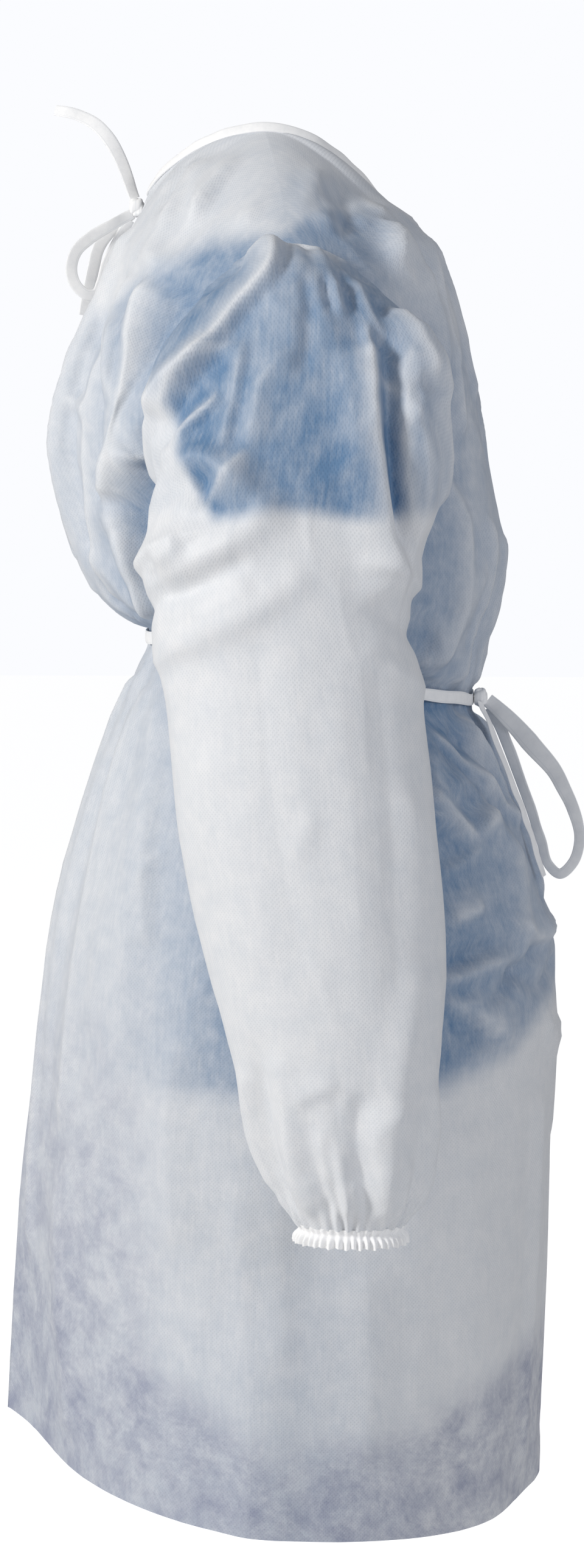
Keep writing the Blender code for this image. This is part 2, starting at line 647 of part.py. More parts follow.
def cuff_ring(radius_share: float, height: float, wave: float, tilt: float) -> np.ndarray:
    """One ring of the cuff: an ellipse under the sleeve's end, with a zigzag of small gathers."""
    end = SLEEVE[-1]
    count = 2 * CUFF_WAVES
    turn = np.linspace(0.0, 2 * math.pi, count + 1)
    zigzag = np.where(np.arange(count + 1) % 2 == 0, 1.0, -1.0)
    half_width = abs(end.outer_x - end.inner_x) / 2 * radius_share + wave * zigzag
    half_depth = end.half_depth * radius_share + wave * zigzag
    middle_x = (end.outer_x + end.inner_x) / 2
    return np.stack([
        middle_x + half_width * np.sin(turn),
        end.middle_y + half_depth * np.cos(turn),
        height + tilt * zigzag,
    ], axis=-1)


def add_cuffs() -> None:
    """Make the two elastic cuffs, each with its short frill."""
    top = SLEEVE[-1].outer_z - SEAM_GAP
    rings = np.array([
        cuff_ring(1.0, top, 0.0, 0.0),
        cuff_ring(0.955, top - 0.0045, 0.0007, 0.0),
        cuff_ring(1.02, top - 0.0130, 0.0020, 0.0006),
    ])
    straight = np.array([
        cuff_ring(1.0, top, 0.0, 0.0),
        cuff_ring(0.955, top - 0.0045, 0.0, 0.0),
        cuff_ring(1.02, top - 0.0130, 0.0, 0.0),
    ])
    outward = surface_directions(straight, tube=True)
    if outward[0, 0, 1] < 0:
        outward = -outward
    inner = rings - outward * WALL
    add_piece("cuff_right", wall(rings, inner, tube=True), TAPE_WHITE)
    add_piece("cuff_left", wall(mirrored(rings), mirrored(inner), tube=True), TAPE_WHITE)


def add_binding() -> None:
    """Make the neck binding: a folded strip that stands on the neckline, open at the back."""
    front = np.linspace(-math.pi / 2, math.pi / 2, 2 * NECK_COLUMNS + 1)
    back = np.linspace(math.pi / 2, NECK_GAP_ANGLE, BACK_COLUMNS + OVERLAP_COLUMNS + 1)
    front_edge = neckline(front, NECK_FRONT)[::-1]
    right_back = neckline(back, NECK_BACK)
    edge = np.vstack([right_back[::-1], front_edge[1:], mirrored(right_back)[1:]])
    middle = np.array([0.0, (NECK_FRONT[0] + NECK_BACK[0]) / 2, 0.0])
    inward = (middle - edge) * np.array([1.0, 1.0, 0.0])
    inward = inward / np.linalg.norm(inward, axis=1, keepdims=True)
    lean = inward * 0.42 + np.array([0.0, 0.0, 0.91])
    foot = edge + lean * SEAM_GAP * 3
    outer = np.array([foot, foot + lean * BINDING_HEIGHT])
    outward = -inward * 0.91 + np.array([0.0, 0.0, 0.42])
    inner = outer - outward[None] * BINDING_THICK
    add_piece("neck_binding", wall(outer, inner), TAPE_WHITE, 0.7)


def add_belt() -> None:
    """Make the waist belt: a flat tape round the belt line, just outside the cloth."""
    top, bottom = BODY[BELT_TOP], BODY[BELT_BOTTOM]
    turn = np.linspace(0.0, 2 * math.pi, 57)
    clear = SEAM_GAP + TAPE_THICK + 0.0008
    half_width = top.half_width + clear
    forward = top.front_y - clear - top.side_y
    backward = top.back_y + clear - top.side_y
    depth = np.where(np.cos(turn) > 0, -forward, backward)
    y = top.side_y - depth * np.cos(turn)
    x = half_width * np.sin(turn)
    middle = np.stack([x, y, belt_height(y)], axis=-1)
    up = np.array([0.0, 0.0, TAPE_WIDTH / 2])
    outer = np.array([middle + up, middle - up])
    outward = np.stack([np.sin(turn) / half_width, -np.cos(turn) / depth, 0 * turn], axis=-1)
    outward = outward / np.linalg.norm(outward, axis=1, keepdims=True)
    inner = outer - outward[None] * TAPE_THICK
    add_piece("waist_belt", wall(outer, inner, tube=True), TAPE_WHITE, 0.7)


def smooth_path(points: tuple, steps: int) -> np.ndarray:
    """Points on a smooth curve through a tape's own points."""
    levels = [np.array([point]) for point in points]
    return smooth_rows(levels, [steps] * (len(levels) - 1))[:, 0]


def add_tape(name: str, points: tuple, start_facing: tuple, end_facing: tuple) -> None:
    """Make a flat tape along a path; facing is the way its flat side looks at each end."""
    path = smooth_path(points, 2)
    share = np.linspace(0.0, 1.0, len(path))[:, None]
    facing = np.array(start_facing) * (1 - share) + np.array(end_facing) * share
    along = np.gradient(path, axis=0)
    along = along / np.linalg.norm(along, axis=1, keepdims=True)
    across = np.cross(facing, along)
    across = across / np.linalg.norm(across, axis=1, keepdims=True)
    flat = np.cross(along, across)
    edges = np.array([path + across * TAPE_WIDTH / 2, path - across * TAPE_WIDTH / 2])
    face = edges.transpose(1, 0, 2)
    thick = flat[:, None] * TAPE_THICK / 2
    add_piece(name, wall(face + thick, face - thick), TAPE_WHITE, 0.7)


def add_knot(name: str, place: tuple, half_sizes: tuple) -> None:
    """Make a knot: a small rounded lump that the tapes come out of."""
    mesh = bmesh.new()
    bmesh.ops.create_uvsphere(mesh, u_segments=10, v_segments=7, radius=1.0)
    bmesh.ops.scale(mesh, vec=half_sizes, verts=mesh.verts)
    bmesh.ops.translate(mesh, vec=place, verts=mesh.verts)
    add_piece(name, mesh, TAPE_WHITE, 0.7)


def add_ties() -> None:
    """Make the neck tie and the bow of the belt, each from its own knot."""
    add_knot("neck_knot", NECK_KNOT, (0.0060, 0.0062, 0.0075))
    add_tape("neck_tie_end_up", NECK_END_UP, (1.0, 0.5, 0.2), (1.0, 0.1, -0.2))
    add_tape("neck_tie_end_down", NECK_END_DOWN, (1.0, 0.3, 0.2), (1.0, 0.5, 0.0))
    add_tape("neck_tie_loop", NECK_LOOP, (1.0, 0.3, 0.3), (1.0, 0.5, -0.2))
    add_knot("belt_knot", BELT_KNOT, (0.0085, 0.0055, 0.0075))
    add_tape("belt_bow_loop", BELT_LOOP, (1.0, -0.2, 0.2), (1.0, -0.5, 0.0))
    add_tape("belt_tie_end", BELT_END, (0.5, 1.0, -0.3), (0.4, 1.0, -0.3))


def main() -> None:
    """Build the gown, piece by piece."""
    fresh_scene()
    add_body()
    add_sleeves()
    add_cuffs()
    add_binding()
    add_belt()
    add_ties()


main()
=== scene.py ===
"""Looks of a disposable isolation gown of spunbond nonwoven, in its worn hollow form.

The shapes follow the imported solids: the same named rings, rows and large folds, divided more
finely, with the small creases, gathers and crumples that the solids leave out. Lengths are in
metres, the wearer's front faces -Y, the wearer's right is -X and +Z is up.
"""
import logging
import math
from dataclasses import dataclass, field
from enum import Enum

import bmesh
import bpy
import numpy as np
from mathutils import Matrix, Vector, noise

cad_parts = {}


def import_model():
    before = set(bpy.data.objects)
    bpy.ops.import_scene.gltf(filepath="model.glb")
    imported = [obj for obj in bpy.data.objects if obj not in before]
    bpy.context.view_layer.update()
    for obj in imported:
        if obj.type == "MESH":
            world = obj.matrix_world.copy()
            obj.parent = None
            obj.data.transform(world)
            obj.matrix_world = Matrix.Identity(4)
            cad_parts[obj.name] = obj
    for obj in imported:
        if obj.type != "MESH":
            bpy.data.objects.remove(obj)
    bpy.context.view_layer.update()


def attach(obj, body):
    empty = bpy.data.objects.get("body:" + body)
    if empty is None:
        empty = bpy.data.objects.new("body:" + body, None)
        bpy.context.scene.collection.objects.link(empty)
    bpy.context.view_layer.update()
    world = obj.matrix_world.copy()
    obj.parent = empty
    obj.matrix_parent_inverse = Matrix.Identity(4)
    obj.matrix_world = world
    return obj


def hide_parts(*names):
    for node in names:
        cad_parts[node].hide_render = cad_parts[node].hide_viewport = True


LOG = logging.getLogger("gown")
# Fixes where the noise patterns lie, so that each run gives the same cloth
NOISE_SEED = 7
TAPE_WIDTH = 0.010
TAPE_THICK = 0.0012
# The bond points of real spunbond lie about 1.5 mm apart. They are drawn a little coarser, so
# that they still show at the photo's distance.
DOT_PITCH = 0.0021
# Radius of a crease's sharp edge
EDGE_RADIUS = 0.0007
# How softly the foot of a crease meets the cloth around it
CREASE_FOOT = 0.03
# How much deeper creases are laid than their rows say, to read as clearly as in the photo
CREASE_DEPTH = 1.35
# Length over which a crease's end fades out
CREASE_END = 0.014
# Heights at which a crease's crest starts to take a painted highlight, and takes it fully
HIGHLIGHT_FROM, HIGHLIGHT_TO = 0.0018, 0.0073


class Side(Enum):
    """The direction that a fold is drawn from, as the way its side faces."""
    RIGHT = (-1.0, 0.0, 0.0)
    LEFT = (1.0, 0.0, 0.0)
    FRONT = (0.0, -1.0, 0.0)
    BACK = (0.0, 1.0, 0.0)


@dataclass(frozen=True)
class Yoke:
    """One row of the bodice between the neckline and the underarm."""
    row: int
    front_y: float
    front_z: float
    back_y: float
    back_z: float
    wrap: float


@dataclass(frozen=True)
class Ring:
    """One ring of the body below the underarm, from a front half and a back half."""
    rows: int
    half_width: float
    side_y: float
    front_y: float
    back_y: float
    front_z: float
    side_z: float
    back_z: float
    front_round: float
    back_round: float


@dataclass(frozen=True)
class SleeveRing:
    """One ring of the right sleeve, between its outer point and its inner point."""
    rows: int
    outer_x: float
    outer_z: float
    inner_x: float
    inner_z: float
    middle_y: float
    half_depth: float


@dataclass(frozen=True)
class Fold:
    """One large soft ridge or trough, which the solids have too: (across, up) in its view."""
    side: Side
    start: tuple
    end: tuple
    bow: float
    half_width: float
    height: float


@dataclass(frozen=True)
class Crease:
    """One smaller crease: a sharp line, from which the cloth falls away flat on both sides.

    Its path goes through (across, up) places in its view. `left` and `right` are how far the
    cloth falls away on each side of the path, seen with `across` growing to the right.
    """
    side: Side
    height: float
    left: float
    right: float
    path: tuple


def crease_rows(side: Side, *rows: tuple) -> tuple:
    """Turn rows of millimetres into creases.

    Args:
        side: The direction that the creases are drawn from.
        rows: For each crease its height, left and right, and then across and up for each place.

    Returns:
        The creases, in metres.
    """
    made = []
    for row in rows:
        height, left, right, *path = (number / 1000 for number in row)
        made.append(Crease(side, height, left, right, tuple(zip(path[::2], path[1::2]))))
    return tuple(made)


YOKE = (
    Yoke(3, -0.112, -0.082, 0.134, -0.076, 62),
    Yoke(5, -0.128, -0.118, 0.148, -0.112, 60),
    Yoke(8, -0.147, -0.180, 0.176, -0.172, 60),
    Yoke(11, -0.160, -0.248, 0.192, -0.232, 68),
)
BODY = (
    Ring(0, 0.180, -0.015, -0.171, 0.181, -0.322, -0.326, -0.306, 2.0, 2.0),
    Ring(2, 0.176, -0.012, -0.166, 0.166, -0.368, -0.360, -0.347, 2.0, 2.0),
    Ring(2, 0.168, -0.010, -0.155, 0.150, -0.410, -0.388, -0.372, 2.0, 2.0),
    Ring(1, 0.160, -0.010, -0.151, 0.131, -0.432, -0.407, -0.384, 2.0, 2.0),
    Ring(1, 0.151, -0.010, -0.147, 0.1175, -0.440, -0.415, -0.389, 2.0, 2.0),
    Ring(1, 0.151, -0.010, -0.147, 0.1175, -0.452, -0.427, -0.401, 2.0, 2.0),
    Ring(1, 0.156, -0.010, -0.151, 0.124, -0.466, -0.443, -0.418, 2.0, 2.0),
    Ring(2, 0.171, -0.008, -0.172, 0.146, -0.510, -0.490, -0.475, 2.0, 1.95),
    Ring(3, 0.192, -0.004, -0.203, 0.178, -0.592, -0.585, -0.580, 1.95, 1.80),
    Ring(2, 0.208, 0.000, -0.2175, 0.205, -0.690, -0.690, -0.690, 1.90, 1.60),
    Ring(2, 0.221, 0.005, -0.2140, 0.226, -0.830, -0.830, -0.825, 1.90, 1.30),
    Ring(2, 0.230, 0.009, -0.2090, 0.236, -0.965, -0.955, -0.940, 1.85, 1.08),
    Ring(2, 0.236, 0.012, -0.2040, 0.243, -1.092, -1.072, -1.047, 1.8, 0.90),
)
BELT_TOP, BELT_BOTTOM = BODY[4], BODY[5]
SLEEVE = (
    SleeveRing(2, -0.237, -0.128, -0.1915, -0.333, -0.024, 0.104),
    SleeveRing(2, -0.276, -0.198, -0.1960, -0.352, -0.026, 0.106),
    SleeveRing(2, -0.298, -0.290, -0.1970, -0.380, -0.019, 0.1045),
    SleeveRing(1, -0.304, -0.350, -0.1965, -0.405, -0.016, 0.098),
    SleeveRing(2, -0.308, -0.420, -0.199, -0.445, -0.023, 0.095),
    SleeveRing(2, -0.320, -0.520, -0.208, -0.530, -0.033, 0.0945),
    SleeveRing(2, -0.328, -0.610, -0.220, -0.615, -0.046, 0.087),
    SleeveRing(2, -0.334, -0.690, -0.234, -0.695, -0.056, 0.076),
    SleeveRing(2, -0.334, -0.755, -0.246, -0.758, -0.062, 0.066),
    SleeveRing(1, -0.328, -0.795, -0.257, -0.796, -0.068, 0.052),
    SleeveRing(1, -0.321, -0.815, -0.266, -0.815, -0.0685, 0.040),
)
BODY_FOLDS = (
    Fold(Side.RIGHT, (-0.010, -0.104), (0.118, -0.262), 0.012, 0.014, 0.014),
    Fold(Side.RIGHT, (0.028, -0.135), (0.100, -0.215), 0.010, 0.020, -0.009),
    Fold(Side.RIGHT, (0.092, -0.110), (0.128, -0.300), 0.018, 0.012, 0.009),
    Fold(Side.RIGHT, (0.125, -0.300), (0.088, -0.385), 0.004, 0.013, 0.007),
    Fold(Side.RIGHT, (0.060, -0.215), (0.100, -0.345), 0.010, 0.016, -0.008),
    Fold(Side.LEFT, (-0.026, -0.108), (0.096, -0.250), 0.010, 0.014, 0.009),
    Fold(Side.LEFT, (0.088, -0.120), (0.120, -0.310), 0.016, 0.013, 0.008),
    Fold(Side.LEFT, (0.066, -0.225), (0.094, -0.350), 0.008, 0.017, -0.007),
    Fold(Side.BACK, (-0.062, -0.110), (-0.074, -0.340), 0.008, 0.011, 0.008),
    Fold(Side.BACK, (0.058, -0.120), (0.080, -0.345), 0.010, 0.012, 0.008),
    Fold(Side.FRONT, (-0.136, -0.086), (-0.118, -0.200), 0.010, 0.014, 0.007),
    Fold(Side.FRONT, (0.130, -0.090), (0.124, -0.215), 0.008, 0.015, 0.006),
    Fold(Side.FRONT, (-0.060, -0.240), (-0.100, -0.400), 0.008, 0.018, 0.006),
    Fold(Side.FRONT, (0.070, -0.250), (0.092, -0.405), 0.006, 0.018, 0.006),
    Fold(Side.FRONT, (-0.120, -0.470), (-0.062, -0.575), -0.010, 0.014, 0.008),
    Fold(Side.FRONT, (0.118, -0.475), (0.070, -0.590), 0.010, 0.015, 0.007),
    Fold(Side.FRONT, (-0.090, -0.560), (-0.016, -0.650), -0.012, 0.018, 0.006),
    Fold(Side.BACK, (-0.050, -0.440), (-0.080, -0.780), 0.010, 0.018, 0.006),
    Fold(Side.BACK, (0.056, -0.440), (0.088, -0.760), 0.010, 0.019, 0.006),
    Fold(Side.RIGHT, (0.085, -0.440), (0.130, -0.760), 0.008, 0.018, 0.006),
    Fold(Side.LEFT, (0.088, -0.440), (0.128, -0.740), 0.008, 0.019, 0.006),
)
SLEEVE_FOLDS = (
    Fold(Side.RIGHT, (0.066, -0.258), (-0.004, -0.298), -0.010, 0.012, 0.012),
    Fold(Side.RIGHT, (0.076, -0.345), (-0.012, -0.305), 0.006, 0.014, 0.009),
    Fold(Side.RIGHT, (-0.115, -0.390), (-0.098, -0.250), 0.010, 0.016, -0.010),
    Fold(Side.RIGHT, (0.068, -0.395), (-0.028, -0.352), 0.008, 0.012, 0.006),
    Fold(Side.RIGHT, (-0.004, -0.690), (-0.020, -0.790), 0.006, 0.010, -0.006),
    Fold(Side.RIGHT, (-0.120, -0.640), (-0.098, -0.770), 0.004, 0.014, 0.006),
)

# Creases of the body on its right side, and then on its left side, front and back, in mm
BODY_CREASES = (
    *crease_rows(Side.RIGHT,
        (6, 20, 6, 31, -22, 48, -49, 63, -77),
        (4, 12, 10, 60, -23, 76, -54, 89, -82),
        (3.5, 12, 8, -2, -24, 5, -54, 24, -86),
        (6, 6, 22, -66, -59, -82, -86, -94, -117),
        (-4, 10, 10, -41, -49, -56, -70, -49, -95),
        (3, 10, 10, -9, -82, -32, -79, -56, -91),
        (4, 14, 8, -32, -32, -23, -63, -9, -88),
        (6, 10, 8, 76, -248, 95, -252, 118, -259),
        (6, 14, 8, 76, -251, 86, -261, 93, -267),
        (8.5, 7, 34, 89, -119, 99, -132, 107, -157, 111, -180, 117, -208, 119, -232, 121, -255, 126,
         -278, 127, -294),
        (6, 8, 20, 127, -294, 118, -316, 110, -340, 99, -365, 93, -382),
        (4.5, 9, 6, 122, -147, 123, -166, 125, -194, 123, -213, 125, -232, 127, -260, 129, -288),
        (-4, 8, 8, 138, -164, 133, -203, 132, -231, 131, -260, 137, -292),
        (4, 10, 8, 152, -322, 138, -337, 121, -356, 103, -376),
        (4, 9, 7, 122, -311, 113, -330, 104, -354, 95, -378),
        (4.5, 9, 9, 171, -206, 157, -214, 144, -222),
        (3, 12, 12, 153, -161, 157, -190, 161, -229, 157, -268),
        (3.2, 10, 8, 125, -380, 121, -381, 104, -384),
        (3.4, 10, 8, 80, -25, 93, -54, 99, -85, 101, -111),
        (3, 8, 7, 67, -22, 81, -56, 92, -92, 93, -117),
        (3, 8, 8, 57, -20, 62, -43, 57, -60, 72, -84),
        (-2.5, 8, 8, 75, -24, 85, -50, 90, -71),
        (4.5, 8, 20, -82, -80, -88, -98, -92, -114, -101, -128, -110, -139),
        (6, 16, 8, -108, -82, -117, -108, -123, -127, -128, -146, -130, -160, -129, -186),
        (2.6, 6, 6, -56, -56, -61, -72, -64, -85),
        (2.8, 10, 8, -71, -66, -80, -94, -90, -115),
        (3.4, 10, 10, -156, -339, -143, -365, -131, -391, -117, -418),
        (3.4, 7, 6, -141, -397, -139, -421, -138, -443),
        (-3.4, 9, 9, -158, -368, -151, -397, -144, -424),
        (3.2, 6, 6, -115, -405, -110, -420),
        (3, 7, 6, -161, -261, -165, -283),
        (3, 14, 10, -138, -183, -141, -230, -146, -278, -149, -316),
        (3, 8, 10, -124, -372, -121, -401, -114, -435),
        (2.8, 5, 5, -115, -482, -122, -504, -129, -516, -135, -527),
        (5.5, 12, 6, -117, -508, -127, -523, -137, -535, -146, -546, -153, -553),
        (5.5, 6, 13, -137, -455, -146, -475, -154, -498, -158, -524, -157, -543, -153, -553),
        (-4.5, 9, 9, -133, -464, -142, -496, -146, -524, -149, -540),
        (-3, 7, 7, -124, -456, -128, -482, -136, -509),
        (3.5, 8, 6, -178, -540, -177, -547, -180, -573, -185, -602, -188, -626, -191, -650),
        (3.2, 6, 6, -180, -543, -188, -563, -193, -580, -198, -605),
        (-4.5, 9, 9, -209, -633, -203, -640, -195, -650, -186, -657, -175, -669, -163, -678),
        (5.5, 22, 9, -160, -602, -147, -607, -133, -612),
        (-4.5, 11, 11, -170, -627, -158, -636, -140, -643, -125, -649),
        (4, 9, 9, -125, -656, -145, -653, -163, -647, -184, -646),
        (3.4, 9, 9, -128, -669, -145, -677, -161, -672),
        (5.5, 8, 24, -152, -678, -159, -689, -170, -700, -183, -709),
        (-3.6, 13, 13, -125, -698, -145, -694, -164, -701),
        (2.6, 7, 7, -158, -555, -151, -562, -137, -572, -124, -574),
        (3, 9, 9, -145, -708, -159, -717, -177, -714),
        (2.6, 16, 12, 95, -435, 96, -491, 100, -560, 99, -634),
        (2.4, 18, 16, 124, -446, 131, -517, 140, -602, 145, -705),
        (2.4, 22, 22, 72, -696, 78, -766, 73, -857),
        (2.2, 24, 24, 8, -806, 3, -875, -4, -944),
        (2.2, 22, 22, 157, -755, 168, -854, 175, -955),
        (2.4, 22, 22, -146, -769, -151, -864, -149, -959),
        (2, 24, 24, -74, -869, -78, -948, -74, -1027)),
    *crease_rows(Side.LEFT,
        (8, 30, 8, -20, -106, 12, -142, 44, -186, 74, -222, 98, -250),
        (7, 8, 30, 86, -112, 102, -150, 112, -210, 121, -262, 122, -302),
        (5.5, 8, 20, 122, -300, 110, -340, 92, -382),
        (4.5, 10, 8, 140, -150, 138, -220, 146, -300),
        (-3.6, 9, 9, 152, -190, 156, -250, 150, -320),
        (5, 12, 8, 66, -262, 88, -256, 112, -262),
        (3.4, 10, 8, 78, -28, 90, -60, 96, -104),
        (3, 8, 8, 50, -22, 58, -52, 70, -88),
        (5, 8, 18, -84, -78, -94, -112, -112, -142, -120, -190),
        (4, 12, 8, -128, -120, -136, -190, -140, -260),
        (3.4, 10, 10, -160, -330, -146, -372, -122, -420),
        (3.4, 7, 6, -112, -370, -118, -410, -114, -440),
        (5.2, 12, 6, -112, -490, -132, -524, -158, -548),
        (4.6, 6, 14, -140, -456, -154, -500, -160, -548),
        (-4, 10, 10, -130, -462, -142, -504, -148, -536),
        (3.6, 8, 8, -176, -548, -184, -604, -186, -664),
        (5, 20, 9, -172, -596, -150, -610, -120, -606),
        (-4.2, 11, 11, -180, -640, -150, -652, -116, -640),
        (4.6, 8, 22, -130, -672, -152, -690, -182, -698),
        (3.6, 10, 10, 40, -470, 46, -560, 30, -660),
        (3, 16, 12, 94, -438, 100, -560, 98, -680),
        (2.6, 18, 18, 128, -470, 150, -620, 164, -820),
        (3, 18, 14, -10, -470, -20, -600, -10, -760),
        (2.6, 26, 22, -60, -780, -66, -900, -60, -1040),
        (2.6, 26, 22, 80, -800, 90, -930, 86, -1050)),
    *crease_rows(Side.FRONT,
        (4.6, 10, 18, -70, -62, -92, -108, -98, -176, -92, -240),
        (3.8, 14, 10, -40, -74, -52, -130, -50, -210),
        (4.6, 18, 10, 68, -62, 90, -112, 100, -180, 96, -250),
        (3.6, 10, 14, 34, -80, 46, -140, 40, -220),
        (-3, 16, 16, -14, -120, -18, -200, -8, -290),
        (4.5, 9, 16, -122, -250, -100, -320, -104, -420),
        (4.5, 10, 8, -74, -300, -62, -370, -72, -436),
        (-3.8, 9, 9, -46, -330, -40, -390, -46, -438),
        (4.2, 10, 10, -14, -310, -20, -380, -14, -440),
        (4, 8, 12, 26, -326, 34, -390, 26, -440),
        (-3.6, 9, 9, 54, -320, 60, -384, 54, -436),
        (4.6, 14, 8, 116, -262, 92, -330, 98, -424),
        (5, 12, 7, -104, -466, -76, -512, -40, -548),
        (4.4, 7, 12, -60, -462, -44, -510, -38, -550),
        (-4, 10, 10, -78, -462, -62, -500, -48, -530),
        (4, 10, 8, -16, -464, -12, -530, -20, -610),
        (4.4, 12, 7, 44, -462, 34, -520, 38, -580),
        (5, 8, 14, 106, -464, 82, -520, 52, -566),
        (-4, 10, 10, 76, -462, 62, -506, 50, -540),
        (4.8, 18, 9, -100, -616, -58, -636, -10, -622),
        (-4.2, 12, 12, -112, -650, -64, -672, -12, -656),
        (4.6, 20, 9, 18, -624, 60, -646, 108, -628),
        (-4, 12, 12, 14, -668, 62, -690, 118, -664),
        (3.4, 10, 18, -60, -700, -20, -720, 30, -712),
        (3.2, 26, 22, -64, -760, -56, -900, -62, -1070),
        (3, 24, 26, 60, -770, 66, -900, 60, -1070),
        (-2.8, 28, 28, 4, -800, -2, -930, 6, -1070)),
    *crease_rows(Side.BACK,
        (5.6, 10, 20, -108, -110, -98, -190, -104, -290, -92, -370),
        (5, 9, 12, -56, -70, -60, -160, -56, -260, -62, -366),
        (-4, 10, 10, -80, -140, -78, -230, -84, -330),
        (4, 10, 8, -22, -90, -30, -200, -26, -340),
        (4.8, 12, 9, 44, -80, 52, -170, 48, -280, 56, -366),
        (5.4, 20, 10, 104, -112, 96, -200, 104, -300, 90, -372),
        (-4, 10, 10, 74, -140, 76, -240, 70, -330),
        (4, 9, 9, -94, -330, -78, -360, -84, -388),
        (4, 9, 9, 94, -330, 80, -362, 84, -388),
        (4.6, 12, 10, -30, -424, -36, -560, -44, -720, -48, -900),
        (4, 12, 14, 32, -424, 44, -580, 54, -760, 60, -900),
        (4, 14, 16, -84, -430, -100, -580, -112, -780),
        (3.8, 16, 14, 86, -430, 104, -590, 114, -800),
        (-3.6, 16, 16, -62, -440, -70, -600, -80, -800),
        (-3.6, 16, 16, 60, -440, 74, -620, 84, -800),
        (3, 26, 24, -110, -830, -122, -930, -126, -1030),
        (3, 26, 24, 112, -840, 120, -940, 124, -1030)),
)

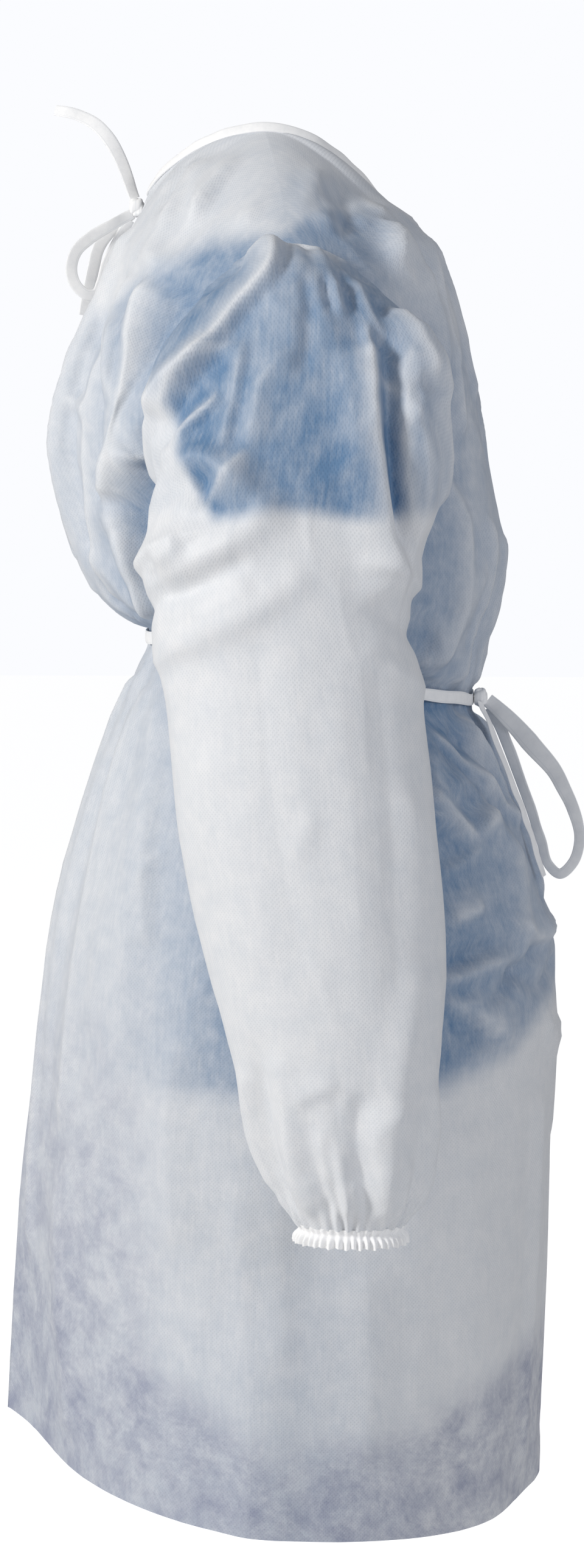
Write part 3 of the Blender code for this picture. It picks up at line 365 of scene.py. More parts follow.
# Creases of the right sleeve on its outer side, then at its front, back and inner side, in mm
SLEEVE_CREASES = (
    *crease_rows(Side.RIGHT,
        (9, 32, 7, -9, -102, -8, -128, 3, -141, 16, -153, 27, -168, 40, -186, 53, -204, 62, -221, 70,
         -236),
        (6.5, 14, 7, 31, -212, 33, -222, 42, -231, 53, -242, 59, -255),
        (5, 10, 10, -11, -113, 4, -115, 18, -122),
        (5, 8, 24, 5, -256, 13, -269, 24, -283, 35, -298),
        (3.5, 18, 7, 54, -262, 45, -284, 35, -298),
        (3.5, 14, 6, 12, -178, 14, -196, 17, -218, 21, -240, 24, -258),
        (3, 12, 12, -24, -186, -11, -197, -1, -214, 1, -236, 7, -258),
        (-3, 9, 9, -31, -152, -35, -179, -31, -206),
        (-3, 5, 5, -44, -127, -47, -142, -51, -160),
        (3, 5, 5, -50, -129, -55, -147, -60, -161),
        (-2.6, 5, 5, -54, -126, -63, -142, -68, -156),
        (3.6, 7, 7, -66, -127, -76, -150, -85, -171, -89, -179),
        (4.5, 5, 6, -75, -162, -77, -178, -79, -192),
        (-3, 6, 6, -86, -141, -93, -161),
        (6.5, 14, 7, -94, -148, -104, -173, -112, -193, -118, -213),
        (5, 9, 7, -110, -164, -118, -183, -123, -204, -126, -226),
        (-2.5, 6, 6, -30, -129, -33, -147, -39, -166),
        (8.5, 30, 9, -77, -178, -80, -196, -81, -218, -84, -240, -88, -266, -92, -292, -96, -318, -101,
         -345, -104, -366),
        (-6, 10, 10, -93, -196, -96, -231, -99, -266, -103, -301, -106, -327),
        (6, 9, 22, -103, -183, -101, -200, -102, -222, -104, -248, -108, -275, -111, -301, -111, -323),
        (2.5, 7, 7, -116, -213, -112, -226, -107, -240),
        (-3.2, 11, 11, 73, -364, 54, -360, 40, -351, 22, -342, 2, -333),
        (5.5, 16, 9, 49, -324, 62, -332, 74, -338),
        (-3, 6, 6, 76, -341, 72, -353, 69, -364),
        (3, 14, 14, 54, -375, 30, -371, -1, -353),
        (2, 20, 20, 40, -436, 32, -501, 16, -566, -7, -630),
        (-2.2, 20, 20, -1, -392, -10, -478, -24, -564, -38, -628),
        (2.2, 20, 20, -61, -435, -71, -521, -76, -607),
        (-2.2, 16, 16, -87, -414, -96, -500, -101, -586, -104, -651),
        (2.5, 14, 10, -109, -501, -118, -553, -123, -614),
        (2.6, 12, 9, -45, -512, -37, -534, -24, -547),
        (4.5, 12, 16, -11, -686, -19, -705, -23, -722, -25, -742, -28, -773, -32, -800),
        (4.2, 7, 16, -29, -722, -42, -715, -53, -710, -64, -707),
        (-2.5, 9, 9, -60, -714, -62, -732, -64, -758),
        (5.5, 14, 16, -110, -718, -103, -729, -92, -738, -87, -752, -91, -774, -92, -799),
        (-4.5, 11, 11, -86, -714, -77, -725, -76, -754, -81, -781),
        (3.4, 7, 6, -72, -776, -73, -787, -74, -801),
        (3.6, 8, 7, -112, -760, -110, -778, -107, -803),
        (-3, 5, 5, -105, -760, -103, -780, -100, -800),
        (2.8, 9, 6, -48, -737, -51, -759, -53, -787, -54, -803),
        (2.8, 6, 6, -40, -773, -43, -787, -46, -801),
        (-2.4, 6, 6, -57, -774, -59, -800),
        (-3, 14, 14, -4, -692, -8, -719, -14, -750, -22, -782)),
    *crease_rows(Side.FRONT,
        (4.6, 10, 16, -232, -160, -240, -220, -232, -300),
        (-4, 10, 10, -214, -170, -218, -240, -212, -310),
        (4.4, 14, 9, -266, -200, -262, -270, -268, -340),
        (5.2, 18, 8, -294, -336, -256, -352, -216, -362),
        (-4.2, 11, 11, -296, -372, -260, -388, -218, -392),
        (4, 14, 12, -290, -412, -256, -428, -222, -424),
        (3, 20, 16, -300, -500, -276, -580, -268, -680),
        (4.2, 12, 9, -304, -710, -290, -750, -292, -795),
        (-3.4, 9, 9, -280, -700, -278, -750, -282, -795),
        (3.6, 8, 8, -262, -730, -268, -770, -270, -800)),
    *crease_rows(Side.BACK,
        (5.6, 16, 8, -262, -176, -240, -236, -220, -284),
        (-4, 10, 10, -276, -210, -252, -270, -226, -316),
        (5.4, 18, 8, -296, -312, -258, -336, -216, -350),
        (-4.4, 11, 11, -298, -350, -262, -370, -220, -380),
        (4.4, 14, 10, -296, -394, -262, -410, -224, -404),
        (3, 20, 18, -300, -470, -280, -560, -270, -660),
        (4.2, 12, 9, -312, -700, -296, -745, -292, -795),
        (-3.4, 9, 9, -286, -700, -280, -750, -282, -798)),
    *crease_rows(Side.LEFT,
        (4.4, 14, 10, 52, -396, 10, -424, -56, -420),
        (-3.6, 12, 12, 40, -430, 0, -456, -60, -452),
        (3.2, 18, 14, -10, -500, -30, -600, -50, -700)),
)


def linear_colour(code: str) -> tuple:
    """Turn an sRGB hex colour into linear red, green, blue and alpha.

    Args:
        code: Six hex digits with a number sign before them.

    Returns:
        Four numbers, the last of them 1.
    """
    shares = [int(code[place:place + 2], 16) / 255.0 for place in (1, 3, 5)]
    linear = [s / 12.92 if s <= 0.04045 else ((s + 0.055) / 1.055) ** 2.4 for s in shares]
    return (*linear, 1.0)


def add_node(tree: bpy.types.NodeTree, kind: str, settings: dict | None = None,
             inputs: dict | None = None) -> bpy.types.Node:
    """Add a node, set its own settings, and set or link its inputs.

    Args:
        tree: The node tree that takes the node.
        kind: The node's type name.
        settings: Values of the node's own properties.
        inputs: For each input, by name or number, a value or the socket that feeds it.

    Returns:
        The new node.
    """
    node = tree.nodes.new(kind)
    for name, value in (settings or {}).items():
        setattr(node, name, value)
    for name, value in (inputs or {}).items():
        if isinstance(value, bpy.types.NodeSocket):
            tree.links.new(value, node.inputs[name])
        else:
            node.inputs[name].default_value = value
    return node


def flat_layout(tree: bpy.types.NodeTree) -> bpy.types.NodeSocket:
    """The cloth's flat layout, in metres."""
    return add_node(tree, "ShaderNodeUVMap", {"uv_map": "cloth"}).outputs["UV"]


def stated(tree: bpy.types.NodeTree, name: str) -> bpy.types.NodeSocket:
    """A number that each point of the mesh states."""
    return add_node(tree, "ShaderNodeAttribute", {"attribute_name": name}).outputs["Fac"]


def ranged(tree: bpy.types.NodeTree, value: bpy.types.NodeSocket, start: float, end: float,
           low: float = 0.0, high: float = 1.0) -> bpy.types.NodeSocket:
    """Stretch a value evenly from one range to another, and hold it there.

    Args:
        tree: The node tree that takes the node.
        value: The value to stretch.
        start: The value that gives low.
        end: The value that gives high.
        low: One end of the new range.
        high: Its other end.

    Returns:
        The socket of the new value.
    """
    return add_node(tree, "ShaderNodeMapRange", {}, {
        "Value": value, "From Min": start, "From Max": end,
        "To Min": low, "To Max": high}).outputs["Result"]


def counted(tree: bpy.types.NodeTree, operation: str, *values: object) -> bpy.types.NodeSocket:
    """Add one step of arithmetic.

    Args:
        tree: The node tree that takes the node.
        operation: The kind of step.
        values: The numbers or sockets it works on.

    Returns:
        The socket of the result. A product is held between 0 and 1.
    """
    settings = {"operation": operation, "use_clamp": operation == "MULTIPLY"}
    return add_node(tree, "ShaderNodeMath", settings, dict(enumerate(values))).outputs[0]


def mixed(tree: bpy.types.NodeTree, share: object, first: object, second: object,
          how: str = "MIX") -> bpy.types.NodeSocket:
    """Mix two colours.

    Args:
        tree: The node tree that takes the node.
        share: 0 for the first colour and 1 for the second.
        first: A colour or its socket.
        second: A colour or its socket.
        how: The kind of mixing.

    Returns:
        The socket of the mixed colour.
    """
    return add_node(tree, "ShaderNodeMix", {"data_type": "RGBA", "blend_type": how}, {
        0: share, 6: first, 7: second}).outputs[2]


def cloudy(tree: bpy.types.NodeTree, layout: bpy.types.NodeSocket, size: float,
           detail: float, roughness: float) -> bpy.types.NodeSocket:
    """Add a cloudy pattern.

    Args:
        tree: The node tree that takes the node.
        layout: The places that the pattern follows, in metres.
        size: The size of the largest clouds.
        detail: How many finer layers they have.
        roughness: How strong the finer layers are.

    Returns:
        A socket with values about 0.5.
    """
    return add_node(tree, "ShaderNodeTexNoise", {}, {
        "Vector": layout, "Scale": 1.0 / size, "Detail": detail,
        "Roughness": roughness}).outputs["Fac"]


def dented(tree: bpy.types.NodeTree, height: bpy.types.NodeSocket, strength: float,
           depth: float, inward: bool = False, over: object = None) -> bpy.types.NodeSocket:
    """Add relief that only the light sees.

    Args:
        tree: The node tree that takes the node.
        height: The relief, 0 to 1.
        strength: How much of it shows.
        depth: Its height in metres.
        inward: Whether it goes inward.
        over: The relief that it lies on.

    Returns:
        The socket of the new surface direction.
    """
    inputs = {"Height": height, "Strength": strength, "Distance": depth}
    if over is not None:
        inputs["Normal"] = over
    return add_node(tree, "ShaderNodeBump", {"invert": inward}, inputs).outputs["Normal"]


def smooth_step(value: np.ndarray, low: float, high: float) -> np.ndarray:
    """Rise softly from 0 at low to 1 at high."""
    share = np.clip((np.asarray(value, dtype=float) - low) / (high - low), 0.0, 1.0)
    return share * share * (3.0 - 2.0 * share)


def unit(vectors: np.ndarray) -> np.ndarray:
    """Vectors of length 1 in the same directions, along the last axis."""
    return vectors / np.maximum(np.linalg.norm(vectors, axis=-1, keepdims=True), 1e-12)


def surface_directions(points: np.ndarray, tube: bool = False) -> np.ndarray:
    """Unit directions square to a grid of points.

    Args:
        points: Rows by columns by 3.
        tube: Whether the last column is the first one again.

    Returns:
        One direction for each point.
    """
    down = np.gradient(points, axis=0)
    across = np.gradient(points, axis=1)
    if tube:
        across[:, 0] = across[:, -1] = (points[:, 1] - points[:, -2]) / 2.0
    return unit(np.cross(down, across))


def blend(first: np.ndarray, second: np.ndarray, start: np.ndarray, end: np.ndarray,
          at: np.ndarray) -> np.ndarray:
    """Mix two values by where at lies between start and end."""
    return ((end - at) * first + (at - start) * second) / (end - start)


def smooth_rows(levels: list, counts: list, before: np.ndarray | None = None) -> np.ndarray:
    """Lay rows of points on smooth curves through level rows.

    Args:
        levels: The level rows, each of points by 3.
        counts: How many rows each stretch between two levels takes.
        before: The row that the curves come from, where a neighbour carries them on.

    Returns:
        Rows by points by 3.
    """
    before = 2 * levels[0] - levels[1] if before is None else before
    chain = [before, *levels, 2 * levels[-1] - levels[-2]]
    rows = [levels[0]]
    for place, count in enumerate(counts):
        four = chain[place:place + 4]
        knots = [np.zeros((len(levels[0]), 1))]
        for first, second in zip(four, four[1:]):
            step = np.sqrt(np.linalg.norm(second - first, axis=1, keepdims=True))
            knots.append(knots[-1] + np.maximum(step, 1e-3))
        for part in range(1, count + 1):
            at = knots[1] + (knots[2] - knots[1]) * part / count
            once = [blend(four[i], four[i + 1], knots[i], knots[i + 1], at) for i in range(3)]
            twice = [blend(once[i], once[i + 1], knots[i], knots[i + 2], at) for i in range(2)]
            rows.append(blend(twice[0], twice[1], knots[1], knots[2], at))
    return np.array(rows)


def smooth_path(points: tuple, steps: int) -> np.ndarray:
    """Points on a smooth curve through a few places, with steps between each and the next."""
    levels = [np.array([point], dtype=float) for point in points]
    return smooth_rows(levels, [steps] * (len(levels) - 1))[:, 0]


def mirrored(points: np.ndarray) -> np.ndarray:
    """The same points on the wearer's other side."""
    return points * np.array([-1.0, 1.0, 1.0])


@dataclass(frozen=True)
class GownForm:
    """The worn form that the panels follow: neckline, armholes, rings and large folds."""
    yoke_rows: int = 14
    shoulder_columns: int = 7
    neck_columns: int = 9
    back_columns: int = 6
    overlap_columns: int = 2
    neck_half_width: float = 0.080
    neck_side_y: float = 0.014
    neck_front: tuple = (-0.076, -0.050)
    neck_back: tuple = (0.117, -0.039)
    shoulder_crown: float = 0.009
    armhole_x: float = -0.1845
    armhole_tilt: float = 0.0045
    armhole_y: float = -0.015
    armhole_z: float = -0.205
    armhole_half_height: float = 0.105
    armhole_half_depth: float = 0.085
    armhole_turn_in: float = 0.026
    armhole_point: float = 0.45
    armhole_drop: float = 0.008
    overlap_angle: float = math.radians(15)
    neck_gap_angle: float = math.radians(7)
    layer_inset: float = 0.0034

    def armhole(self, angle: np.ndarray) -> np.ndarray:
        """Points on the right armhole: 0 at the shoulder, pi at the underarm.

        Args:
            angle: Where on the armhole, negative on the back half.

        Returns:
            One point for each angle.
        """
        angle = np.asarray(angle, dtype=float)
        low = np.clip(-np.cos(angle), 0.0, 1.0)
        side = np.abs(np.sin(angle))
        deep = self.armhole_half_depth * np.sin(angle) * side ** (self.armhole_point * low)
        tall = self.armhole_half_height * np.cos(angle)
        return np.stack([
            self.armhole_x - self.armhole_tilt * np.cos(angle) + self.armhole_turn_in * side ** 2,
            self.armhole_y - deep,
            self.armhole_z + tall - self.armhole_drop * low * (1 - side) ** 2,
        ], axis=-1)

    def neckline(self, angle: np.ndarray, lowest: tuple) -> np.ndarray:
        """Points on half of the neckline: 0 at its lowest point, pi/2 at the shoulder.

        Args:
            angle: Where on the neckline.
            lowest: Y and Z of the lowest point, in front or behind.

        Returns:
            One point for each angle.
        """
        angle = np.asarray(angle, dtype=float)
        return np.stack([
            -self.neck_half_width * np.sin(angle),
            self.neck_side_y + (lowest[0] - self.neck_side_y) * np.cos(angle),
            lowest[1] * np.cos(angle) ** 2,
        ], axis=-1)

    def shoulder_seam(self, share: np.ndarray) -> np.ndarray:
        """Points of the right shoulder seam.

        Args:
            share: Where on the seam, 0 at the armhole and 1 at the neckline.

        Returns:
            One point for each share.
        """
        share = np.asarray(share, dtype=float)[:, None]
        start, end = self.armhole(0.0), self.neckline(math.pi / 2, self.neck_front)
        seam = start + (end - start) * share
        seam[:, 2] += self.shoulder_crown * np.sin(math.pi * share[:, 0])
        return seam

    def top_row(self, column: np.ndarray, lowest: tuple, last: float,
                gap: float) -> np.ndarray:
        """The shoulder seam and then the neckline, for a panel's columns.

        Args:
            column: The columns, in steps of the solids' grid.
            lowest: Y and Z of the neckline's lowest point.
            last: The column of the panel's far edge.
            gap: The neckline's angle at that edge.

        Returns:
            One point for each column.
        """
        seam = self.shoulder_seam(np.clip(column / self.shoulder_columns, 0.0, 1.0))
        part = np.clip((column - self.shoulder_columns) / (last - self.shoulder_columns), 0, 1)
        neck = self.neckline(math.pi / 2 + (gap - math.pi / 2) * part, lowest)
        return np.where((column <= self.shoulder_columns)[:, None], seam, neck)

    @staticmethod
    def half_arc(edge: np.ndarray, middle: tuple, wrap: float, angles: np.ndarray,
                 roundness: float = 2.0) -> np.ndarray:
        """An arc from a panel's right edge to the middle of the body.

        Args:
            edge: The point at the edge.
            middle: The point at the middle of the body.
            wrap: The angle from the middle to the edge.
            angles: The angle of each column.
            roundness: 2 for an ellipse, less for a pointed arc.

        Returns:
            One point for each column.
        """
        across = np.sin(angles) / math.sin(wrap)
        level = np.sqrt(np.maximum(1.0 - np.abs(np.sin(angles)) ** roundness, 0.0))
        lowest = math.sqrt(max(1.0 - math.sin(wrap) ** roundness, 0.0))
        rise = (level - lowest) / (1.0 - lowest)
        return np.stack([
            edge[0] * across,
            edge[1] + (middle[1] - edge[1]) * rise,
            edge[2] + (middle[2] - edge[2]) * rise,
        ], axis=-1)

    def front_levels(self, column: np.ndarray) -> list:
        """Level rows of the front panel's right half.

        Args:
            column: The columns, in steps of the solids' grid.

        Returns:
            The level rows, from the top down.
        """
        last = self.shoulder_columns + self.neck_columns
        shares = np.interp(column, [0, self.shoulder_columns, last], [1.0, 0.5, 0.0])
        levels = [self.top_row(column, self.neck_front, last, 0.0)]
        for yoke in YOKE:
            wrap = math.radians(yoke.wrap)
            edge = self.armhole(math.pi * yoke.row / self.yoke_rows)
            middle = (0.0, yoke.front_y, yoke.front_z)
            levels.append(self.half_arc(edge, middle, wrap, wrap * shares))
        for ring in BODY:
            edge = np.array([-ring.half_width, ring.side_y, ring.side_z])
            middle = (0.0, ring.front_y, ring.front_z)
            angles = math.pi / 2 * shares
            levels.append(self.half_arc(edge, middle, math.pi / 2, angles, ring.front_round))
        return levels

    def back_levels(self, column: np.ndarray) -> list:
        """Level rows of the right back panel.

        Args:
            column: The columns, in steps of the solids' grid.

        Returns:
            The level rows, from the top down.
        """
        centre = self.shoulder_columns + self.back_columns
        last = centre + self.overlap_columns
        places = [0, self.shoulder_columns, centre, last]

        def angles(side: float, over: float) -> np.ndarray:
            """Angles of the columns, from the side edge to past the centre back."""
            return np.interp(column, places, [side, side / 2, 0.0, -over])

        levels = [self.top_row(column, self.neck_back, last, self.neck_gap_angle)]
        for yoke in YOKE:
            wrap = math.radians(yoke.wrap)
            edge = self.armhole(-math.pi * yoke.row / self.yoke_rows)
            over = self.overlap_angle * float(smooth_step(yoke.row, 0, self.yoke_rows))
            middle = (0.0, yoke.back_y, yoke.back_z)
            levels.append(self.half_arc(edge, middle, wrap, angles(wrap, over)))
        for ring in BODY:
            edge = np.array([-ring.half_width, ring.side_y, ring.side_z])
            middle = (0.0, ring.back_y, ring.back_z)
            turn = angles(math.pi / 2, self.overlap_angle)
            levels.append(self.half_arc(edge, middle, math.pi / 2, turn, ring.back_round))
        return levels

    def carried_on(self, levels: list, neighbour: np.ndarray,
                   column: np.ndarray) -> np.ndarray:
        """The row that a panel's curves come from, shared across the shoulder seam.

        Args:
            levels: The panel's level rows.
            neighbour: The first row of the panel over the seam.
            column: The panel's columns.

        Returns:
            One point for each column.
        """
        before = 2 * levels[0] - levels[1]
        free = smooth_step(column, self.shoulder_columns, self.shoulder_columns + 5)[:, None]
        return neighbour * (1 - free) + before * free

    def belt_height(self, y: np.ndarray) -> np.ndarray:
        """Height of the belt's middle round the body: lower in front than behind.

        Args:
            y: How far back on the body.

        Returns:
            One height for each place.
        """
        back = (BELT_TOP.back_z + BELT_BOTTOM.back_z) / 2
        front = (BELT_TOP.front_z + BELT_BOTTOM.front_z) / 2
        share = (np.asarray(y) - BELT_TOP.front_y) / (BELT_TOP.back_y - BELT_TOP.front_y)
        return front + (back - front) * share


FORM = GownForm()


def fold_height(points: np.ndarray, folds: tuple) -> np.ndarray:
    """How far each point stands out of the plain form, from the large folds.

    Args:
        points: Rows by columns by 3.
        folds: The folds, as the solids have them.

    Returns:
        One height for each point.
    """
    height = np.zeros(points.shape[:2])
    x, y, z = points[..., 0], points[..., 1], points[..., 2]
    faces = {
        Side.RIGHT: (y, smooth_step(-x, 0.03, 0.08)),
        Side.LEFT: (y, smooth_step(x, 0.03, 0.08)),
        Side.FRONT: (x, smooth_step(-y, 0.02, 0.07)),
        Side.BACK: (x, smooth_step(y, 0.02, 0.07)),
    }
    for fold in folds:
        across, weight = faces[fold.side]
        start, end = np.array(fold.start), np.array(fold.end)
        run = end - start
        length = np.linalg.norm(run)
        square = np.array([-run[1], run[0]]) / length
        offset = np.stack([across - start[0], z - start[1]], axis=-1)
        along = np.clip((offset @ run) / length ** 2, 0.0, 1.0)
        line = start + along[..., None] * run
        line = line + (fold.bow * np.sin(math.pi * along))[..., None] * square
        miss = np.hypot(across - line[..., 0], z - line[..., 1])
        ends = 0.35 + 0.65 * np.sin(math.pi * np.clip(along, 0.08, 0.92))
        height += weight * fold.height * ends * np.exp(-(miss / fold.half_width) ** 2)
    return height


def crease_height(points: np.ndarray, out: np.ndarray, creases: tuple,
                  narrowness: float) -> tuple:
    """How far the smaller creases raise each point.

    Args:
        points: Rows by columns by 3.
        out: The outward direction at each point.
        creases: The creases to lay.
        narrowness: How fast the painted highlight on a crest falls away beside the ridge.

    Returns:
        The height of each point, and the share of painted highlight on a ridge's crest, 0 to 1.
    """
    height = np.zeros(points.shape[:2])
    crest = np.zeros(points.shape[:2])
    for crease in creases:
        facing = np.array(crease.side.value)
        weight = smooth_step(out @ facing, 0.02, 0.40)
        across = points[..., 1] if facing[0] else points[..., 0]
        path = smooth_path(tuple((*place, 0.0) for place in crease.path), 4)[:, :2]
        reach = 1.6 * max(crease.left, crease.right)
        low, high = path.min(axis=0) - reach, path.max(axis=0) + reach
        up = points[..., 2]
        near = (weight > 0) & (across > low[0]) & (across < high[0])
        near &= (up > low[1]) & (up < high[1])
        if not near.any():
            continue
        spots = np.stack([across[near], up[near]], axis=-1)
        steps = np.linalg.norm(np.diff(path, axis=0), axis=1)
        run_before = np.concatenate([[0.0], np.cumsum(steps)])
        best = np.full(len(spots), 1e9)
        sided, along = np.zeros(len(spots)), np.zeros(len(spots))
        for number, (start, end) in enumerate(zip(path, path[1:])):
            run = end - start
            offset = spots - start
            part = np.clip((offset @ run) / max(run @ run, 1e-12), 0.0, 1.0)
            miss = offset - part[:, None] * run
            far = np.hypot(miss[:, 0], miss[:, 1])
            closer = far < best
            best = np.where(closer, far, best)
            sided = np.where(closer, run[0] * miss[:, 1] - run[1] * miss[:, 0], sided)
            along = np.where(closer, run_before[number] + part * steps[number], along)
        width = np.where(sided > 0, crease.left, crease.right)
        rounded = np.hypot(best, EDGE_RADIUS) - EDGE_RADIUS
        left_over = 1.0 - rounded / width
        rise = 0.5 * (left_over + np.sqrt(left_over ** 2 + CREASE_FOOT))
        rise -= CREASE_FOOT / 4 / (1.0 + best / width)
        fade = min(CREASE_END, 0.3 * run_before[-1])
        ends = smooth_step(along, -0.3 * fade, fade)
        ends = ends * smooth_step(run_before[-1] - along, -0.3 * fade, fade)
        ends = ends * weight[near]
        height[near] += CREASE_DEPTH * crease.height * ends * np.maximum(rise, 0.0)
        # Painted highlight: a high enough crease pales the cast along its crest
        pale = np.clip((crease.height - HIGHLIGHT_FROM) / (HIGHLIGHT_TO - HIGHLIGHT_FROM), 0.0, 1.0)
        top = pale * np.clip(left_over, 0.0, 1.0) ** narrowness
        crest[near] = np.maximum(crest[near], top * ends)
    return height, crest


def crumple(points: np.ndarray, scale: tuple, offset: float) -> np.ndarray:
    """Facets of papery cloth: raised lines between cells, from 0 to about 1.

    Args:
        points: Rows by columns by 3.
        scale: Cells per metre along X, Y and Z.
        offset: Moves the pattern, so that no two pieces share it.

    Returns:
        One height for each point.
    """
    stretched = points.reshape(-1, 3) * np.array(scale) + offset
    heights = np.empty(len(stretched))
    for number, place in enumerate(stretched.tolist()):
        shifted = Vector(place) + 0.35 * noise.noise_vector(Vector(place) * 1.7)
        distances = noise.voronoi(shifted)[0]
        heights[number] = distances[1] - distances[0]
    return np.exp(-heights.reshape(points.shape[:2]) * 5.0)


def soft_waves(points: np.ndarray, scale: tuple, offset: float) -> np.ndarray:
    """Slow uneven rise and fall of loose cloth.

    Args:
        points: Rows by columns by 3.
        scale: Waves per metre along X, Y and Z.
        offset: Moves the pattern, so that no two pieces share it.

    Returns:
        One height for each point, from about -1 to 1.
    """
    places = (points.reshape(-1, 3) * np.array(scale) + offset).tolist()
    heights = np.array([noise.noise(Vector(place)) for place in places])
    return heights.reshape(points.shape[:2])


def read_off(value: np.ndarray, curve: tuple) -> np.ndarray:
    """Read a curve, given as (place, value) points, at each value."""
    places, values = zip(*curve)
    return np.interp(value, places, values)


def relief_shade_and_highlight(rise: np.ndarray, crest: np.ndarray) -> np.ndarray:
    """Share of the cast that is left: above 1 in troughs as painted shade, least on a crest as a
    painted highlight.
    """
    return np.clip(1.02 - 16.0 * rise, 0.60, 1.20) * (1.0 - 0.85 * crest)


def panel_uv(points: np.ndarray, middle: int) -> np.ndarray:
    """Lay a grid of points flat, in metres.

    Args:
        points: Rows by columns by 3.
        middle: The column that lies at 0 across.

    Returns:
        For each point how far across and how far down it lies.
    """
    steps = np.linalg.norm(np.diff(points, axis=1), axis=2)
    across = np.concatenate([np.zeros((len(points), 1)), np.cumsum(steps, axis=1)], axis=1)
    across -= across[:, middle:middle + 1]
    falls = np.linalg.norm(np.diff(points, axis=0), axis=2).mean(axis=1)
    down = np.concatenate([[0.0], np.cumsum(falls)])
    return np.stack([across, np.broadcast_to(-down[:, None], across.shape)], axis=-1)


@dataclass
class Cloth:
    """A grid of points that becomes one thin cloth piece."""
    name: str
    points: np.ndarray
    outward: np.ndarray
    cast: np.ndarray | None = None
    hollow_shade: np.ndarray | None = None
    thickness: float = 0.0006
    tube: bool = False
    capped: bool = False
    uv: np.ndarray | None = None

    def build(self, material: bpy.types.Material, slot: str) -> bpy.types.Object:
        """Make the piece, dress it and let it ride on the gown's body.

        Args:
            material: The finish.
            slot: A material slot's name; not used.

        Returns:
            The new object.
        """
        rows, columns = self.points.shape[:2]
        uv = panel_uv(self.points, columns // 2) if self.uv is None else self.uv
        mesh = bmesh.new()
        laid = mesh.loops.layers.uv.new("cloth")
        # Each point's share of the blue cast, with its painted shade and highlight, and of the painted
        # shade over the hollow skirt
        cast = mesh.verts.layers.float.new("cast")
        free = mesh.verts.layers.float.new("free")
        bmesh.ops.create_grid(mesh, x_segments=columns - 1, y_segments=rows - 1, size=0.5)
        mesh.verts.ensure_lookup_table()
        places = self.points.reshape(-1, 3).tolist()
        none = np.zeros((rows, columns))
        shades = (none if self.cast is None else self.cast).reshape(-1).tolist()
        hollow_shares = (none if self.hollow_shade is None else self.hollow_shade).reshape(-1).tolist()
        for vertex, place, shade, hollow_share in zip(mesh.verts, places, shades, hollow_shares):
            vertex.co = place
            vertex[cast] = shade
            vertex[free] = hollow_share
        mesh.verts.index_update()
        mesh.normal_update()
        flat, out = uv.reshape(-1, 2).tolist(), self.outward.reshape(-1, 3)
        turned = 0.0
        for face in mesh.faces:
            face.smooth = True
            for loop in face.loops:
                loop[laid].uv = flat[loop.vert.index]
            turned += float(np.dot(face.normal, out[face.verts[0].index]))
        if turned < 0:
            bmesh.ops.reverse_faces(mesh, faces=mesh.faces)
        if self.tube:
            bmesh.ops.remove_doubles(mesh, verts=mesh.verts, dist=1e-6)
        rims = [edge for edge in mesh.edges if edge.is_boundary]
        for edge in rims:
            edge.smooth = False
        if self.capped:
            bmesh.ops.holes_fill(mesh, edges=rims)
        data = bpy.data.meshes.new(self.name)
        mesh.to_mesh(data)
        mesh.free()
        data.materials.append(material)
        piece = bpy.data.objects.new(self.name, data)
        bpy.context.scene.collection.objects.link(piece)
        if self.thickness:
            shell = piece.modifiers.new("Cloth thickness", "SOLIDIFY")
            shell.thickness = self.thickness
            shell.offset = -1.0
        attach(piece, "root")
        LOG.info("%s: %d by %d points", self.name, rows, columns)
        return piece


def bond_dots(tree: bpy.types.NodeTree, layout: bpy.types.NodeSocket,
              unevenness: float) -> bpy.types.NodeSocket:
    """Add the nodes of the small round bond points in their slanting grid.

    Args:
        tree: The node tree that takes the nodes.
        layout: The cloth's flat layout.
        unevenness: How far the grid strays, 0 to 1.

    Returns:
        A socket that is 1 on a point and 0 between them.
    """
    turned = add_node(tree, "ShaderNodeMapping", {}, {
        "Vector": layout, "Rotation": (0.0, 0.0, math.radians(45))}).outputs["Vector"]
    dots = add_node(tree, "ShaderNodeTexVoronoi", {"feature": "F1"}, {
        "Vector": turned, "Scale": 1.0 / DOT_PITCH, "Randomness": unevenness})
    return add_node(tree, "ShaderNodeMapRange", {"interpolation_type": "SMOOTHSTEP"}, {
        "Value": dots.outputs["Distance"], "From Min": 0.20, "From Max": 0.36,
        "To Min": 1.0, "To Max": 0.0}).outputs["Result"]


